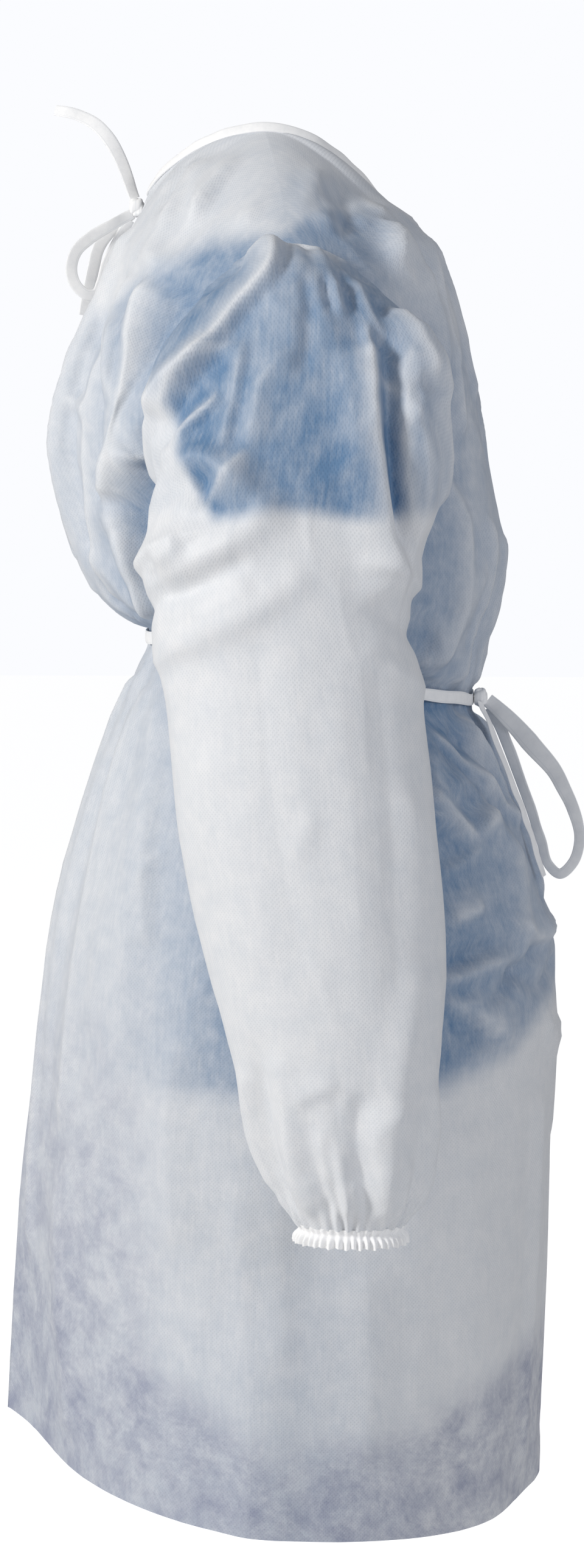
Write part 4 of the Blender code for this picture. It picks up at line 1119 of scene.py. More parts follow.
@dataclass(frozen=True)
class SpunbondNonwoven:
    """White polypropylene spunbond nonwoven, thermally bonded in small points.

    The eye sees a matte, papery and slightly translucent sheet: a fine even grid of pressed
    dots and cloudy thick and thin places where the fibres bunch. A blue cast lies over it, partly
    the covered under-shirt seen through the sheet and partly painted shade, deepest in troughs
    and paled by a painted highlight on ridge crests. Where the skirt falls free, painted shade
    of the dark hollow inside shows through.
    """
    name: str = "spunbond_nonwoven"
    white: str = "#E4E5E7"
    thin_place: str = "#DADDE1"
    # Blue of the covered under-shirt seen through the sheet, also laid on as painted shade in troughs
    show_through_and_shade: str = "#5E80A4"
    roughness: float = 0.62
    pressed_gloss: float = 0.14
    cloud_size: float = 0.018
    # One fibre is far finer than a pixel, so bunches of fibres are drawn instead
    fibre_bunch: float = 0.0036
    fibre_slant: float = math.radians(28)
    fibre_stretch: float = 0.16
    fibre_share: float = 0.38
    # Painted shade: the dark hollow inside, seen through the skirt where it falls free
    hollow_shade_colour: str = "#8F95AC"
    patch_size: float = 0.050
    pressed_tint: str = "#EEEFF1"
    pressed_share: float = 0.55
    dot_depth: float = 0.00018
    nap_height: float = 0.00035

    def build(self) -> bpy.types.Material:
        """Make the material from the sheet's flat layout and each point's cast.

        Returns:
            The finish of the panels and sleeves.
        """
        material = bpy.data.materials.new(self.name)
        material.use_nodes = True
        tree = material.node_tree
        shader = tree.nodes["Principled BSDF"]
        layout = flat_layout(tree)
        pressed = bond_dots(tree, layout, 0.12)
        clouds = cloudy(tree, layout, self.cloud_size, 5.0, 0.62)
        drawn = add_node(tree, "ShaderNodeMapping", {}, {
            "Vector": layout, "Rotation": (0.0, 0.0, self.fibre_slant),
            "Scale": (1.0, self.fibre_stretch, 1.0)}).outputs["Vector"]
        fibres = cloudy(tree, drawn, self.fibre_bunch, 3.0, 0.7)
        bunched = add_node(tree, "ShaderNodeMix", {"data_type": "FLOAT"}, {
            0: self.fibre_share, 2: clouds, 3: fibres}).outputs[0]
        sheet = mixed(tree, ranged(tree, bunched, 0.38, 0.66), linear_colour(self.white),
                      linear_colour(self.thin_place))
        uneven = ranged(tree, bunched, 0.30, 0.70, 0.66, 1.14)
        # Blue cast: partly the covered under-shirt seen through the sheet, partly painted shade, paled
        # on crests by a painted highlight
        held = counted(tree, "MULTIPLY", stated(tree, "cast"), uneven)
        tinted = mixed(tree, held, sheet, linear_colour(self.show_through_and_shade))
        patches = add_node(tree, "ShaderNodeTexNoise", {}, {
            "Vector": layout, "Scale": 1.0 / self.patch_size, "Detail": 7.0,
            "Roughness": 0.80, "Distortion": 0.2}).outputs["Fac"]
        hollow_patches = ranged(tree, patches, 0.40, 0.64, 0.18, 0.86)
        # Painted shade of the dark hollow inside, in patches where the skirt falls free
        through = counted(tree, "MULTIPLY", stated(tree, "free"), hollow_patches)
        tinted = mixed(tree, through, tinted, linear_colour(self.hollow_shade_colour))
        dimmer = mixed(tree, 1.0, tinted, linear_colour(self.pressed_tint), "MULTIPLY")
        colour = mixed(tree, counted(tree, "MULTIPLY", pressed, self.pressed_share),
                       tinted, dimmer)
        gloss = ranged(tree, pressed, 0.0, 1.0, self.roughness,
                       self.roughness - self.pressed_gloss)
        dents = dented(tree, pressed, 0.45, self.dot_depth, inward=True)
        nap = dented(tree, fibres, 0.35, self.nap_height, over=dents)
        tree.links.new(colour, shader.inputs["Base Color"])
        tree.links.new(gloss, shader.inputs["Roughness"])
        tree.links.new(nap, shader.inputs["Normal"])
        shader.inputs["Specular IOR Level"].default_value = 0.42
        shader.inputs["Sheen Weight"].default_value = 0.10
        shader.inputs["Sheen Roughness"].default_value = 0.45
        return material


@dataclass(frozen=True)
class FoldedTape:
    """The same nonwoven folded into several layers, for bindings, belt and ties.

    More layers make it whiter and denser than the panels, with a softly pressed edge, faint
    lengthwise fold lines and no cast.
    """
    name: str
    white: str = "#FAFAFA"
    fold_shade: str = "#E4E6E9"
    roughness: float = 0.58
    cloud_size: float = 1 / 130
    edge_line: float = 0.0012
    line_width: float = 0.0005
    dot_depth: float = 0.00010
    rumple_height: float = 0.0003

    def build(self) -> bpy.types.Material:
        """Make the material from the tape's flat layout.

        Returns:
            The finish of binding, cuffs, belt and ties.
        """
        material = bpy.data.materials.new(self.name)
        material.use_nodes = True
        tree = material.node_tree
        shader = tree.nodes["Principled BSDF"]
        layout = flat_layout(tree)
        pressed = bond_dots(tree, layout, 0.15)
        cloud = cloudy(tree, layout, self.cloud_size, 4.0, 0.6)
        shade = ranged(tree, cloud, 0.40, 0.75, 0.0, 0.45)
        across = add_node(tree, "ShaderNodeSeparateXYZ", {}, {0: layout}).outputs["X"]
        inward = counted(tree, "PINGPONG", across, TAPE_WIDTH / 2)
        off_line = counted(tree, "ABSOLUTE", counted(tree, "SUBTRACT", inward, self.edge_line))
        line = ranged(tree, off_line, 0.0, self.line_width, 0.75, 0.0)
        shade = counted(tree, "MAXIMUM", shade, line)
        colour = mixed(tree, shade, linear_colour(self.white), linear_colour(self.fold_shade))
        dents = dented(tree, pressed, 0.15, self.dot_depth, inward=True)
        rumple = dented(tree, cloud, 0.12, self.rumple_height, over=dents)
        tree.links.new(colour, shader.inputs["Base Color"])
        tree.links.new(rumple, shader.inputs["Normal"])
        shader.inputs["Roughness"].default_value = self.roughness
        shader.inputs["Sheen Weight"].default_value = 0.12
        return material


@dataclass
class Bodice:
    """Front panel and two back panels, from shoulder seam and neckline to hem.

    The curves with (place, value) points give the share of the blue cast, partly the covered
    under-shirt seen through the cloth and partly painted shade, from the front of the gown to its
    back. The unround factors in the waves only make them uneven.
    """
    columns_per_step: int = 6
    back_columns_per_step: int = 8
    yoke_rows_per_step: int = 5
    row_length: float = 0.0036
    skirt_row_length: float = 0.0085
    plain_skirt: float = -0.70
    belt_gathers: int = 9
    belt_gather_depth: float = 0.0065
    belt_gather_reach: float = 0.055
    hem_flutes: int = 5
    hem_flute_depth: float = 0.0045
    middle_gathers: int = 31
    middle_gather_depth: float = 0.0020
    middle_gather_reach: float = 0.030
    fine_gather_depth: float = 0.0011
    fine_gather_reach: float = 0.012
    crest_narrowness: float = 2.2
    crumple_cells: tuple = (17.0, 17.0, 9.0)
    crumple_depths: tuple = (0.0004, 0.0011)
    wave_cells: tuple = (9.0, 9.0, 4.0)
    wave_depths: tuple = (0.0010, 0.0016)
    chest_cast: tuple = ((-0.17, 0.42), (-0.145, 0.50), (-0.12, 0.72), (-0.08, 0.75),
                         (0.0, 0.85), (0.085, 0.85), (0.11, 0.76), (0.13, 0.52), (0.16, 0.32))
    hip_cast: tuple = ((-0.215, 0.60), (-0.18, 0.72), (-0.12, 0.95), (0.0, 0.92), (0.05, 0.62),
                       (0.085, 0.42), (0.12, 0.26), (0.20, 0.20))
    hip_cast_end: tuple = ((-0.215, 0.688), (-0.182, 0.722), (-0.115, 0.745))
    collar_cast: float = 0.42
    skirt_cast: float = 0.19
    hem_cast: float = 0.10

    def row_plan(self) -> tuple:
        """Plan the fine rows between the solids' rows.

        Returns:
            How many fine rows each stretch takes, and the coarse row of each fine one.
        """
        ends = [0, *[yoke.row for yoke in YOKE], FORM.yoke_rows]
        counts = [(later - sooner) * self.yoke_rows_per_step
                  for sooner, later in zip(ends, ends[1:])]
        for above, below in zip(BODY, BODY[1:]):
            fall = max(above.side_z - below.side_z, above.front_z - below.front_z)
            plain = below.side_z < self.plain_skirt
            length = self.skirt_row_length if plain else self.row_length
            counts.append(max(3, round(fall / length)))
            ends.append(ends[-1] + below.rows)
        coarse = [0.0]
        for sooner, later, count in zip(ends, ends[1:], counts):
            coarse += list(np.linspace(sooner, later, count + 1)[1:])
        return counts, np.array(coarse)

    def settle_edge(self, rows: np.ndarray, side: int, counts: list, coarse: np.ndarray,
                    column: np.ndarray) -> np.ndarray:
        """Move the first columns so that the edge lies on the armhole and the side seam.

        Args:
            rows: The plain rows of points, by columns by 3.
            side: 1 for the front panel, -1 for a back panel.
            counts: How many fine rows each stretch takes.
            coarse: The coarse row of each fine one.
            column: The panel's columns.

        Returns:
            The moved rows.
        """
        sides = [np.array([FORM.armhole(math.pi)])]
        sides += [np.array([(-r.half_width, r.side_y, r.side_z)]) for r in BODY[1:]]
        seam = smooth_rows(sides, counts[len(YOKE) + 1:])[:, 0]
        above = coarse[coarse < FORM.yoke_rows - 1e-9]
        edge = np.vstack([FORM.armhole(side * math.pi * above / FORM.yoke_rows), seam])
        reach = np.interp(column, [0, 1, 2, 3], [1.0, 0.3, 0.08, 0.0])
        return rows + reach[None, :, None] * (edge - rows[:, 0])[:, None]

    def edge_share(self, coarse: np.ndarray, column: np.ndarray) -> np.ndarray:
        """1 over a panel, falling to 0 along its top edge and its seamed side."""
        top = smooth_step(coarse, 0.0, 2.5)[:, None]
        return top * smooth_step(column, 0.0, 2.0)[None, :]

    def large_relief(self, rows: np.ndarray, share: np.ndarray) -> np.ndarray:
        """Height of the folds, the belt gathers and the hem flutes that the solids have.

        Args:
            rows: The plain rows of points, by columns by 3.
            share: How much of the relief each point takes.

        Returns:
            One height for each point.
        """
        x, y, z = rows[..., 0], rows[..., 1], rows[..., 2]
        line = FORM.belt_height(y)
        away = smooth_step(np.abs(z - line), 0.009, 0.035)
        turn = np.arctan2(x, -y + BELT_TOP.side_y)
        wave = np.cos(2 * self.belt_gathers * turn + 1.3 * np.sin(3 * turn)
                      + 0.8 * np.sin(5 * turn + 1.0))
        depth = 0.75 + 0.25 * np.sin(4 * turn + 0.6)
        reach = np.exp(-((z - line) / self.belt_gather_reach) ** 2)
        gathers = -self.belt_gather_depth * reach * depth * (0.5 - 0.5 * wave) * share
        around = np.arctan2(x, -y)
        flutes = np.sin(self.hem_flutes * around + 0.9 * np.sin(2 * around + 0.4))
        flutes = self.hem_flute_depth * flutes * smooth_step(-z, 0.60, 1.05) * share
        return fold_height(rows, BODY_FOLDS) * away * share + gathers + flutes

    def small_relief(self, rows: np.ndarray, out: np.ndarray, share: np.ndarray,
                     offset: float) -> tuple:
        """Height of the creases, the finer belt gathers and the papery crumples.

        Args:
            rows: The plain rows of points, by columns by 3.
            out: The outward direction at each point.
            share: How much of the relief each point takes.
            offset: Moves the crumples' pattern.

        Returns:
            The height of each point, and the share of painted highlight on a ridge's crest.
        """
        x, y, z = rows[..., 0], rows[..., 1], rows[..., 2]
        line = FORM.belt_height(y)
        turn = np.arctan2(x, -y + BELT_TOP.side_y)
        off_belt = np.abs(z - line)
        swing = self.middle_gathers * turn + 1.7 * np.sin(4 * turn + 0.5)
        swing = swing + 1.1 * np.sin(7 * turn)
        fine = np.cos(2 * swing) * (0.7 + 0.3 * np.sin(5 * turn + 2.0))
        fine = self.fine_gather_depth * fine * np.exp(-(off_belt / self.fine_gather_reach) ** 2)
        middle = np.cos(swing + 9.0 * z) * (0.6 + 0.4 * np.sin(3 * turn + 1.0))
        middle = self.middle_gather_depth * middle
        middle = middle * np.exp(-(off_belt / self.middle_gather_reach) ** 2)
        middle = middle * smooth_step(off_belt, 0.004, 0.016)
        pulled, crest = crease_height(rows, out, BODY_CREASES, self.crest_narrowness)
        pulled = pulled * smooth_step(off_belt, 0.005, 0.020)
        bodice = smooth_step(-z, 0.05, 0.10) * (1 - smooth_step(-z, 0.60, 0.78))
        everywhere, added = self.crumple_depths
        papery = crumple(rows, self.crumple_cells, offset) * (everywhere + added * bodice)
        everywhere, added = self.wave_depths
        waves = soft_waves(rows, self.wave_cells, offset) * (everywhere + added * bodice)
        papery = papery * smooth_step(off_belt, 0.0, 0.03)
        waves = waves * smooth_step(off_belt, 0.005, 0.04)
        return (fine + middle + pulled + papery + waves) * share, crest * share

    def cast(self, rows: np.ndarray, rise: np.ndarray, crest: np.ndarray) -> np.ndarray:
        """The blue cast: under-shirt seen through, with painted shade in troughs and painted highlight
        on crests.

        Args:
            rows: The plain rows of points, by columns by 3.
            rise: How far each point stands out.
            crest: How much of it is a crest, which takes a painted highlight.

        Returns:
            The share of the cast at each point.
        """
        y, depth = rows[..., 1], -rows[..., 2]
        belt = -FORM.belt_height(y)
        # The cast starts along a line below the neckline, higher in front and lower at the back
        top = 0.092 - 0.026 * smooth_step(-y, 0.0, 0.04) + 0.5 * np.maximum(y - 0.05, 0.0)
        chest = read_off(y, self.chest_cast)
        chest = chest * (0.16 + 0.84 * smooth_step(depth - top, -0.010, 0.016))
        collar = smooth_step(depth, 0.020, 0.055) * np.exp(-((y + 0.035) / 0.045) ** 2)
        chest = np.maximum(chest, self.collar_cast * collar)
        # It is weaker in front, above the chest
        bib = smooth_step(-y, 0.06, 0.10) * (1 - smooth_step(depth, 0.14, 0.19))
        chest = chest * (1 - 0.5 * bib)
        # Below the belt it ends along a line over the hip; under it a faint tint covers the skirt,
        # stronger towards the hem and gone in front
        lower = read_off(y, self.hip_cast_end)
        hips = read_off(y, self.hip_cast) * (1 - smooth_step(depth - lower, -0.020, 0.012))
        skirt = self.skirt_cast + self.hem_cast * smooth_step(depth, 0.85, 1.08)
        skirt = skirt * (1 - smooth_step(-y, 0.02, 0.15))
        cast_share = np.where(depth < belt, chest, np.maximum(hips, skirt))
        # Painted shade deepens the cast in troughs, and a painted highlight pales it on crests
        return cast_share * relief_shade_and_highlight(rise, crest)

    def panel(self, name: str, rows: np.ndarray, share: np.ndarray, under: np.ndarray,
              offset: float) -> Cloth:
        """Raise one panel's folds and creases from its plain rows.

        Args:
            name: The piece's name.
            rows: The plain rows of points, by columns by 3.
            share: How much of the relief each point takes.
            under: 1 where the panel lies under its neighbour.
            offset: Moves the crumples' pattern.

        Returns:
            The panel, not built yet.
        """
        out = surface_directions(rows)
        if np.sum(out[..., 1] * (rows[..., 1] - BELT_TOP.side_y)) < 0:
            out = -out
        large = self.large_relief(rows, share)
        formed = rows + out * (large - FORM.layer_inset * under)[..., None]
        facing = surface_directions(formed)
        facing = facing * np.sign(np.sum(facing * out, axis=2, keepdims=True))
        small, crest = self.small_relief(rows, facing, np.minimum(1.0, 2.2 * share), offset)
        placed = formed + facing * small[..., None]
        cast = self.cast(rows, large + small, crest)
        return Cloth(name, placed, facing, cast, self.hollow_shade(rows))

    def hollow_shade(self, rows: np.ndarray) -> np.ndarray:
        """Share of painted shade, the dark hollow inside seen through the skirt where it falls free:
        most at the back and along the hem.

        Args:
            rows: The plain rows of points, by columns by 3.

        Returns:
            One share for each point.
        """
        y, depth = rows[..., 1], -rows[..., 2]
        behind = smooth_step(y, 0.055, 0.14) * smooth_step(depth, 0.60, 0.88)
        low = depth + 0.6 * np.maximum(y, 0.0) + 0.35 * np.maximum(-y - 0.08, 0.0)
        return np.maximum(0.8 * behind, smooth_step(low, 0.985, 1.03))

    def build(self, material: bpy.types.Material) -> list:
        """Make the three body panels.

        Args:
            material: The nonwoven.

        Returns:
            The front panel, the right back panel and the left back panel.
        """
        counts, coarse = self.row_plan()
        last = FORM.shoulder_columns + FORM.neck_columns
        column = np.linspace(0, last, last * self.columns_per_step + 1)
        levels = FORM.front_levels(column)
        before = FORM.carried_on(levels, FORM.back_levels(column)[1], column)
        half = smooth_rows(levels, counts, before)
        half = self.settle_edge(half, 1, counts, coarse, column)
        whole = np.concatenate([half, mirrored(half)[:, -2::-1]], axis=1)
        share = self.edge_share(coarse, column)
        share = np.concatenate([share, share[:, -2::-1]], axis=1)
        none = np.zeros_like(share)
        front = self.panel("gown_front_panel", whole, share, none, 3.0)
        last = FORM.shoulder_columns + FORM.back_columns + FORM.overlap_columns
        column = np.linspace(0, last, last * self.back_columns_per_step + 1)
        levels = FORM.back_levels(column)
        before = FORM.carried_on(levels, FORM.front_levels(column)[1], column)
        rows = smooth_rows(levels, counts, before)
        rows = self.settle_edge(rows, -1, counts, coarse, column)
        share = self.edge_share(coarse, column)
        none = np.zeros_like(share)
        under = smooth_step(coarse, 0.0, 2.5)[:, None] * smooth_step(column, 7.0, 11.0)
        right = self.panel("gown_back_panel_right", rows, share, none, 11.0)
        left = self.panel("gown_back_panel_left", mirrored(rows), share, under, 11.0)
        made = [panel.build(material, "nonwoven") for panel in (front, right, left)]
        names = ("front_panel", "back_panel_right", "back_panel_left")
        for piece, node in zip(made, names):
            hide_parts(node)
        return made


@dataclass
class Sleeves:
    """The two long sleeves, gathered at the head and again at the wrist.

    The curves with (place, value) points give the share of the blue cast, partly the covered
    under-shirt seen through the sleeve and partly painted shade.
    """
    columns_per_step: int = 9
    row_length: float = 0.0034
    lower_row_length: float = 0.0085
    plain_length: tuple = (-0.42, -0.69)
    head_gathers: int = 5
    head_gather_depth: float = 0.0048
    wrist_gathers: int = 9
    wrist_gather_depth: float = 0.0035
    fine_head_gathers: int = 23
    fine_head_depth: float = 0.0022
    fine_wrist_gathers: int = 29
    fine_wrist_depth: float = 0.0017
    crest_narrowness: float = 4.0
    crumple_cells: tuple = (15.0, 15.0, 8.0)
    crumple_depths: tuple = (0.0006, 0.0009)
    wave_cells: tuple = (10.0, 10.0, 4.5)
    wave_depth: float = 0.0020
    other_sleeve_shift: tuple = (0.0, 0.012, 0.016)
    cast_end: float = 0.306
    cast_across: tuple = ((-0.135, 0.30), (-0.124, 0.42), (-0.114, 0.72), (-0.09, 0.96),
                          (-0.05, 0.92), (0.0, 0.86), (0.04, 1.06))
    cast_back_edge: tuple = ((0.15, 0.095), (0.19, 0.080), (0.23, 0.062), (0.262, 0.054),
                             (0.305, 0.033))
    cast_down: tuple = ((0.10, 0.70), (0.14, 0.86), (0.20, 0.94), (0.27, 1.04))

    def rows(self, angles: np.ndarray) -> np.ndarray:
        """The right sleeve's plain form, from the armhole to the wrist.

        Args:
            angles: Where round the sleeve each column lies.

        Returns:
            Rows by columns by 3.
        """
        levels = [FORM.armhole(angles)]
        for ring in SLEEVE:
            outer = np.array([ring.outer_x, ring.middle_y, ring.outer_z])
            inner = np.array([ring.inner_x, ring.middle_y, ring.inner_z])
            forward = np.array([0.0, -ring.half_depth, 0.0])
            levels.append((outer + inner) / 2 + np.outer(np.cos(angles), (outer - inner) / 2)
                          + np.outer(np.sin(angles), forward))
        counts = []
        top, bottom = self.plain_length
        for above, below, ring in zip(levels, levels[1:], SLEEVE):
            fall = np.linalg.norm(below - above, axis=1).max()
            plain = bottom <= ring.outer_z < top
            length = self.lower_row_length if plain else self.row_length
            counts.append(max(3, round(fall / length)))
        return smooth_rows(levels, counts)

    def relief(self, rows: np.ndarray, out: np.ndarray, angles: np.ndarray,
               offset: float) -> tuple:
        """Height of the sleeve's folds, gathers, creases and crumples.

        Args:
            rows: The plain rows of points, by columns by 3.
            out: The outward direction at each point.
            angles: Where round the sleeve each column lies.
            offset: 0 for the right sleeve. Otherwise it moves the small folds.

        Returns:
            The height of the large folds, which the solids have, the height of the small ones,
            and the share of painted highlight on a ridge's crest.
        """
        angles = angles[None, :]
        drop = np.linalg.norm(rows - rows[0], axis=2)
        climb = np.linalg.norm(rows - rows[-1], axis=2)
        ends = smooth_step(drop, 0.0, 0.02) * smooth_step(climb, 0.0, 0.02)
        top = smooth_step(np.cos(angles), -0.3, 0.4)
        head = np.cos(self.head_gathers * angles + 0.5 * np.sin(2 * angles)) * top
        head = head * smooth_step(drop, 0.0, 0.03) * (1 - smooth_step(drop, 0.06, 0.17))
        wrist = np.cos(self.wrist_gathers * angles + 0.7 * np.sin(3 * angles))
        wrist = wrist * smooth_step(climb, 0.0, 0.02) * (1 - smooth_step(climb, 0.03, 0.11))
        large = self.head_gather_depth * head + self.wrist_gather_depth * wrist
        large = (large + fold_height(rows, SLEEVE_FOLDS)) * ends
        swing = self.fine_head_gathers * angles + 1.6 * np.sin(3 * angles + offset)
        fine_head = np.cos(swing) * (0.6 + 0.4 * np.sin(7 * angles + offset)) * top
        reach = 0.030 + 0.022 * np.sin(5 * angles + 1.0) + 0.012 * np.sin(11 * angles)
        fine_head = fine_head * np.exp(-(drop / reach) ** 2) * smooth_step(drop, 0.0, 0.004)
        swing = self.fine_wrist_gathers * angles + 1.4 * np.sin(4 * angles + offset)
        fine_wrist = np.cos(swing) * (0.6 + 0.4 * np.sin(6 * angles + 2.0))
        reach = 0.030 + 0.014 * np.sin(5 * angles + 2.0 + offset)
        fine_wrist = fine_wrist * np.exp(-(climb / reach) ** 2)
        upper = 1 - smooth_step(drop, 0.20, 0.34)
        everywhere, added = self.crumple_depths
        papery = crumple(rows, self.crumple_cells, 5.0 + offset) * (everywhere + added * upper)
        waves = soft_waves(rows, self.wave_cells, offset) * self.wave_depth
        small = self.fine_head_depth * fine_head + self.fine_wrist_depth * fine_wrist
        inner_ends = smooth_step(drop, 0.001, 0.010) * smooth_step(climb, 0.001, 0.010)
        shift = np.array(self.other_sleeve_shift) * min(offset, 1.0)
        pulled, crest = crease_height(rows + shift, out, SLEEVE_CREASES, self.crest_narrowness)
        pulled = pulled * (1.0 - 0.5 * smooth_step(-rows[..., 2], 0.325, 0.40))
        small = small + (pulled + papery + waves) * inner_ends
        return large, small, crest * inner_ends

    def cast(self, rows: np.ndarray, rise: np.ndarray, crest: np.ndarray) -> np.ndarray:
        """The sleeve's upper blue cast: under-shirt seen through, painted shade in troughs, highlight
        on crests.

        Args:
            rows: The plain rows of points, by columns by 3.
            rise: How far each point stands out.
            crest: How much of it is a crest, which takes a painted highlight.

        Returns:
            The share of the cast at each point.
        """
        y, depth = rows[..., 1], -rows[..., 2]
        lower = self.cast_end + 0.003 * np.sin(60.0 * y)
        region = smooth_step(depth, 0.096, 0.120) * (1 - smooth_step(depth - lower, -0.010, 0.006))
        edge = read_off(depth, self.cast_back_edge)
        behind = 1 - 0.9 * smooth_step(y - edge, -0.008, 0.006)
        cast_share = region * read_off(y, self.cast_across) * behind * read_off(depth, self.cast_down)
        # Painted shade deepens the cast in troughs, and a painted highlight pales it on crests
        return cast_share * relief_shade_and_highlight(rise, crest) + 0.03

    def build(self, material: bpy.types.Material) -> list:
        """Make the right sleeve, and the left one as its mirror with its own small folds.

        Args:
            material: The nonwoven.

        Returns:
            The right sleeve and the left sleeve.
        """
        steps = 2 * FORM.yoke_rows * self.columns_per_step
        angles = np.linspace(-math.pi, math.pi, steps + 1)
        rows = self.rows(angles)
        out = surface_directions(rows, tube=True)
        made = []
        for name, offset in (("right", 0.0), ("left", 2.3)):
            large, small, crest = self.relief(rows, out, angles, offset)
            placed = rows + out * (large + small)[..., None]
            facing = surface_directions(placed, tube=True)
            uv = panel_uv(placed, len(angles) // 2)
            if name == "left":
                placed, facing = mirrored(placed), mirrored(facing)
            cast = self.cast(rows, large + small, crest)
            cloth = Cloth(f"gown_sleeve_{name}", placed, facing, cast, tube=True, uv=uv)
            piece = cloth.build(material, "nonwoven")
            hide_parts(f"sleeve_{name}")
            made.append(piece)
        return made


@dataclass
class ElasticCuffs:
    """The sleeves' ends, drawn in by elastic, with a short standing frill below it."""
    frills: int = 46
    columns: int = 552
    drop: float = 0.0138
    lap: float = 0.0006
    frill_depth: float = 0.0021
    ruffle: float = 0.0006

    def build(self, material: bpy.types.Material) -> list:
        """Make both cuffs.

        Args:
            material: The folded tape finish.

        Returns:
            The right cuff and the left cuff.
        """
        end = SLEEVE[-1]
        turn = np.linspace(0.0, 2 * math.pi, self.columns + 1)[None, :]
        part = np.linspace(0.0, 1.0, 15)[:, None]
        swing = self.frills * turn + 1.3 * np.sin(3 * turn) + 0.9 * np.sin(8 * turn + 1.0)
        uneven = 0.8 + 0.2 * np.sin(9 * turn + 0.4)
        waist = 1.0 - 0.060 * np.exp(-((part - 0.34) / 0.17) ** 2) + 0.030 * part ** 2
        rise = 0.0007 * (1 - part) + self.frill_depth * smooth_step(part, 0.30, 0.80)
        wave = rise * np.cos(swing) * uneven
        middle_x = (end.outer_x + end.inner_x) / 2
        half_width = abs(end.outer_x - end.inner_x) / 2 * waist + wave
        half_depth = end.half_depth * waist + wave
        ruffled = self.ruffle * np.sin(swing * 0.5 + 1.0) * part
        points = np.stack([
            middle_x + half_width * np.sin(turn),
            end.middle_y + half_depth * np.cos(turn),
            end.outer_z + self.lap - self.drop * part + ruffled,
        ], axis=-1)
        out = surface_directions(points, tube=True)
        outside = points - np.array([middle_x, end.middle_y, 0.0])
        if np.sum(out[..., :2] * outside[..., :2]) < 0:
            out = -out
        made = []
        uv = panel_uv(points, self.columns // 2)
        for name, turned in (("right", points), ("left", mirrored(points))):
            facing = out if name == "right" else mirrored(out)
            cloth = Cloth(f"gown_cuff_{name}", turned, facing, thickness=0.0007, tube=True,
                          uv=uv)
            piece = cloth.build(material, "tape")
            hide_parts(f"cuff_{name}")
            made.append(piece)
        return made


@dataclass
class Tape:
    """A folded tape along a path, with a rounded flat section."""
    name: str
    path: np.ndarray
    facing: np.ndarray
    width: np.ndarray
    thick: float = TAPE_THICK
    ripple: float = 0.0004
    closed: bool = False

    def build(self, material: bpy.types.Material) -> bpy.types.Object:
        """Sweep the section along the path.

        Args:
            material: The folded tape finish.

        Returns:
            The new object.
        """
        along = np.gradient(self.path, axis=0)
        if self.closed:
            along[0] = along[-1] = self.path[1] - self.path[-2]
        along = unit(along)
        across = unit(np.cross(self.facing, along))
        flat = np.cross(along, across)
        turn = np.linspace(0.0, 2 * math.pi, 17)
        wide = np.sign(np.cos(turn)) * np.abs(np.cos(turn)) ** 0.45 / 2
        deep = np.sign(np.sin(turn)) * np.abs(np.sin(turn)) ** 0.80 / 2
        steps = np.linalg.norm(np.diff(self.path, axis=0), axis=1)
        run = np.concatenate([[0.0], np.cumsum(steps)])
        sway = self.ripple * np.sin(run * 190.0 + 1.2 * np.sin(run * 61.0))
        if self.closed:
            sway *= np.sin(math.pi * run / run[-1]) ** 2
        points = (self.path[:, None]
                  + across[:, None] * (self.width[:, None] * wide[None, :])[..., None]
                  + flat[:, None] * (self.thick * deep[None, :])[..., None]
                  + flat[:, None] * (sway[:, None] * (1 + wide[None, :]))[..., None])
        out = points - self.path[:, None]
        places = np.cumsum(np.concatenate([[0.0], np.abs(np.diff(wide)) * self.width.mean()]))
        uv = np.stack(np.broadcast_arrays(places[None, :], run[:, None]), axis=-1)
        cloth = Cloth(self.name, points, out, thickness=0.0, tube=True, capped=not self.closed,
                      uv=uv)
        return cloth.build(material, "tape")


@dataclass
class NeckBinding:
    """The folded strip sewn over the raw neckline, open at the back."""
    height: float = 0.0090
    thick: float = 0.0024
    lap: float = 0.0012
    inset: float = 0.0004
    lean_in: float = 0.42
    lean_up: float = 0.91

    def build(self, material: bpy.types.Material) -> bpy.types.Object:
        """Make the binding from one end of the back opening round to the other.

        Args:
            material: The folded tape finish.

        Returns:
            The new object.
        """
        front = np.linspace(-math.pi / 2, math.pi / 2, 121)
        back = np.linspace(math.pi / 2, FORM.neck_gap_angle, 71)
        front_edge = FORM.neckline(front, FORM.neck_front)[::-1]
        right_back = FORM.neckline(back, FORM.neck_back)
        edge = np.vstack([right_back[::-1], front_edge[1:], mirrored(right_back)[1:]])
        middle = np.array([0.0, (FORM.neck_front[0] + FORM.neck_back[0]) / 2, 0.0])
        inward = unit((middle - edge) * np.array([1.0, 1.0, 0.0]))
        lean = inward * self.lean_in + np.array([0.0, 0.0, self.lean_up])
        path = edge + lean * (self.height / 2 - self.lap) - inward * self.inset
        outward = -inward * self.lean_up + np.array([0.0, 0.0, self.lean_in])
        width = np.full(len(path), self.height)
        tape = Tape("gown_neck_binding", path, outward, width, self.thick, 0.00025)
        piece = tape.build(material)
        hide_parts("neck_binding")
        return piece


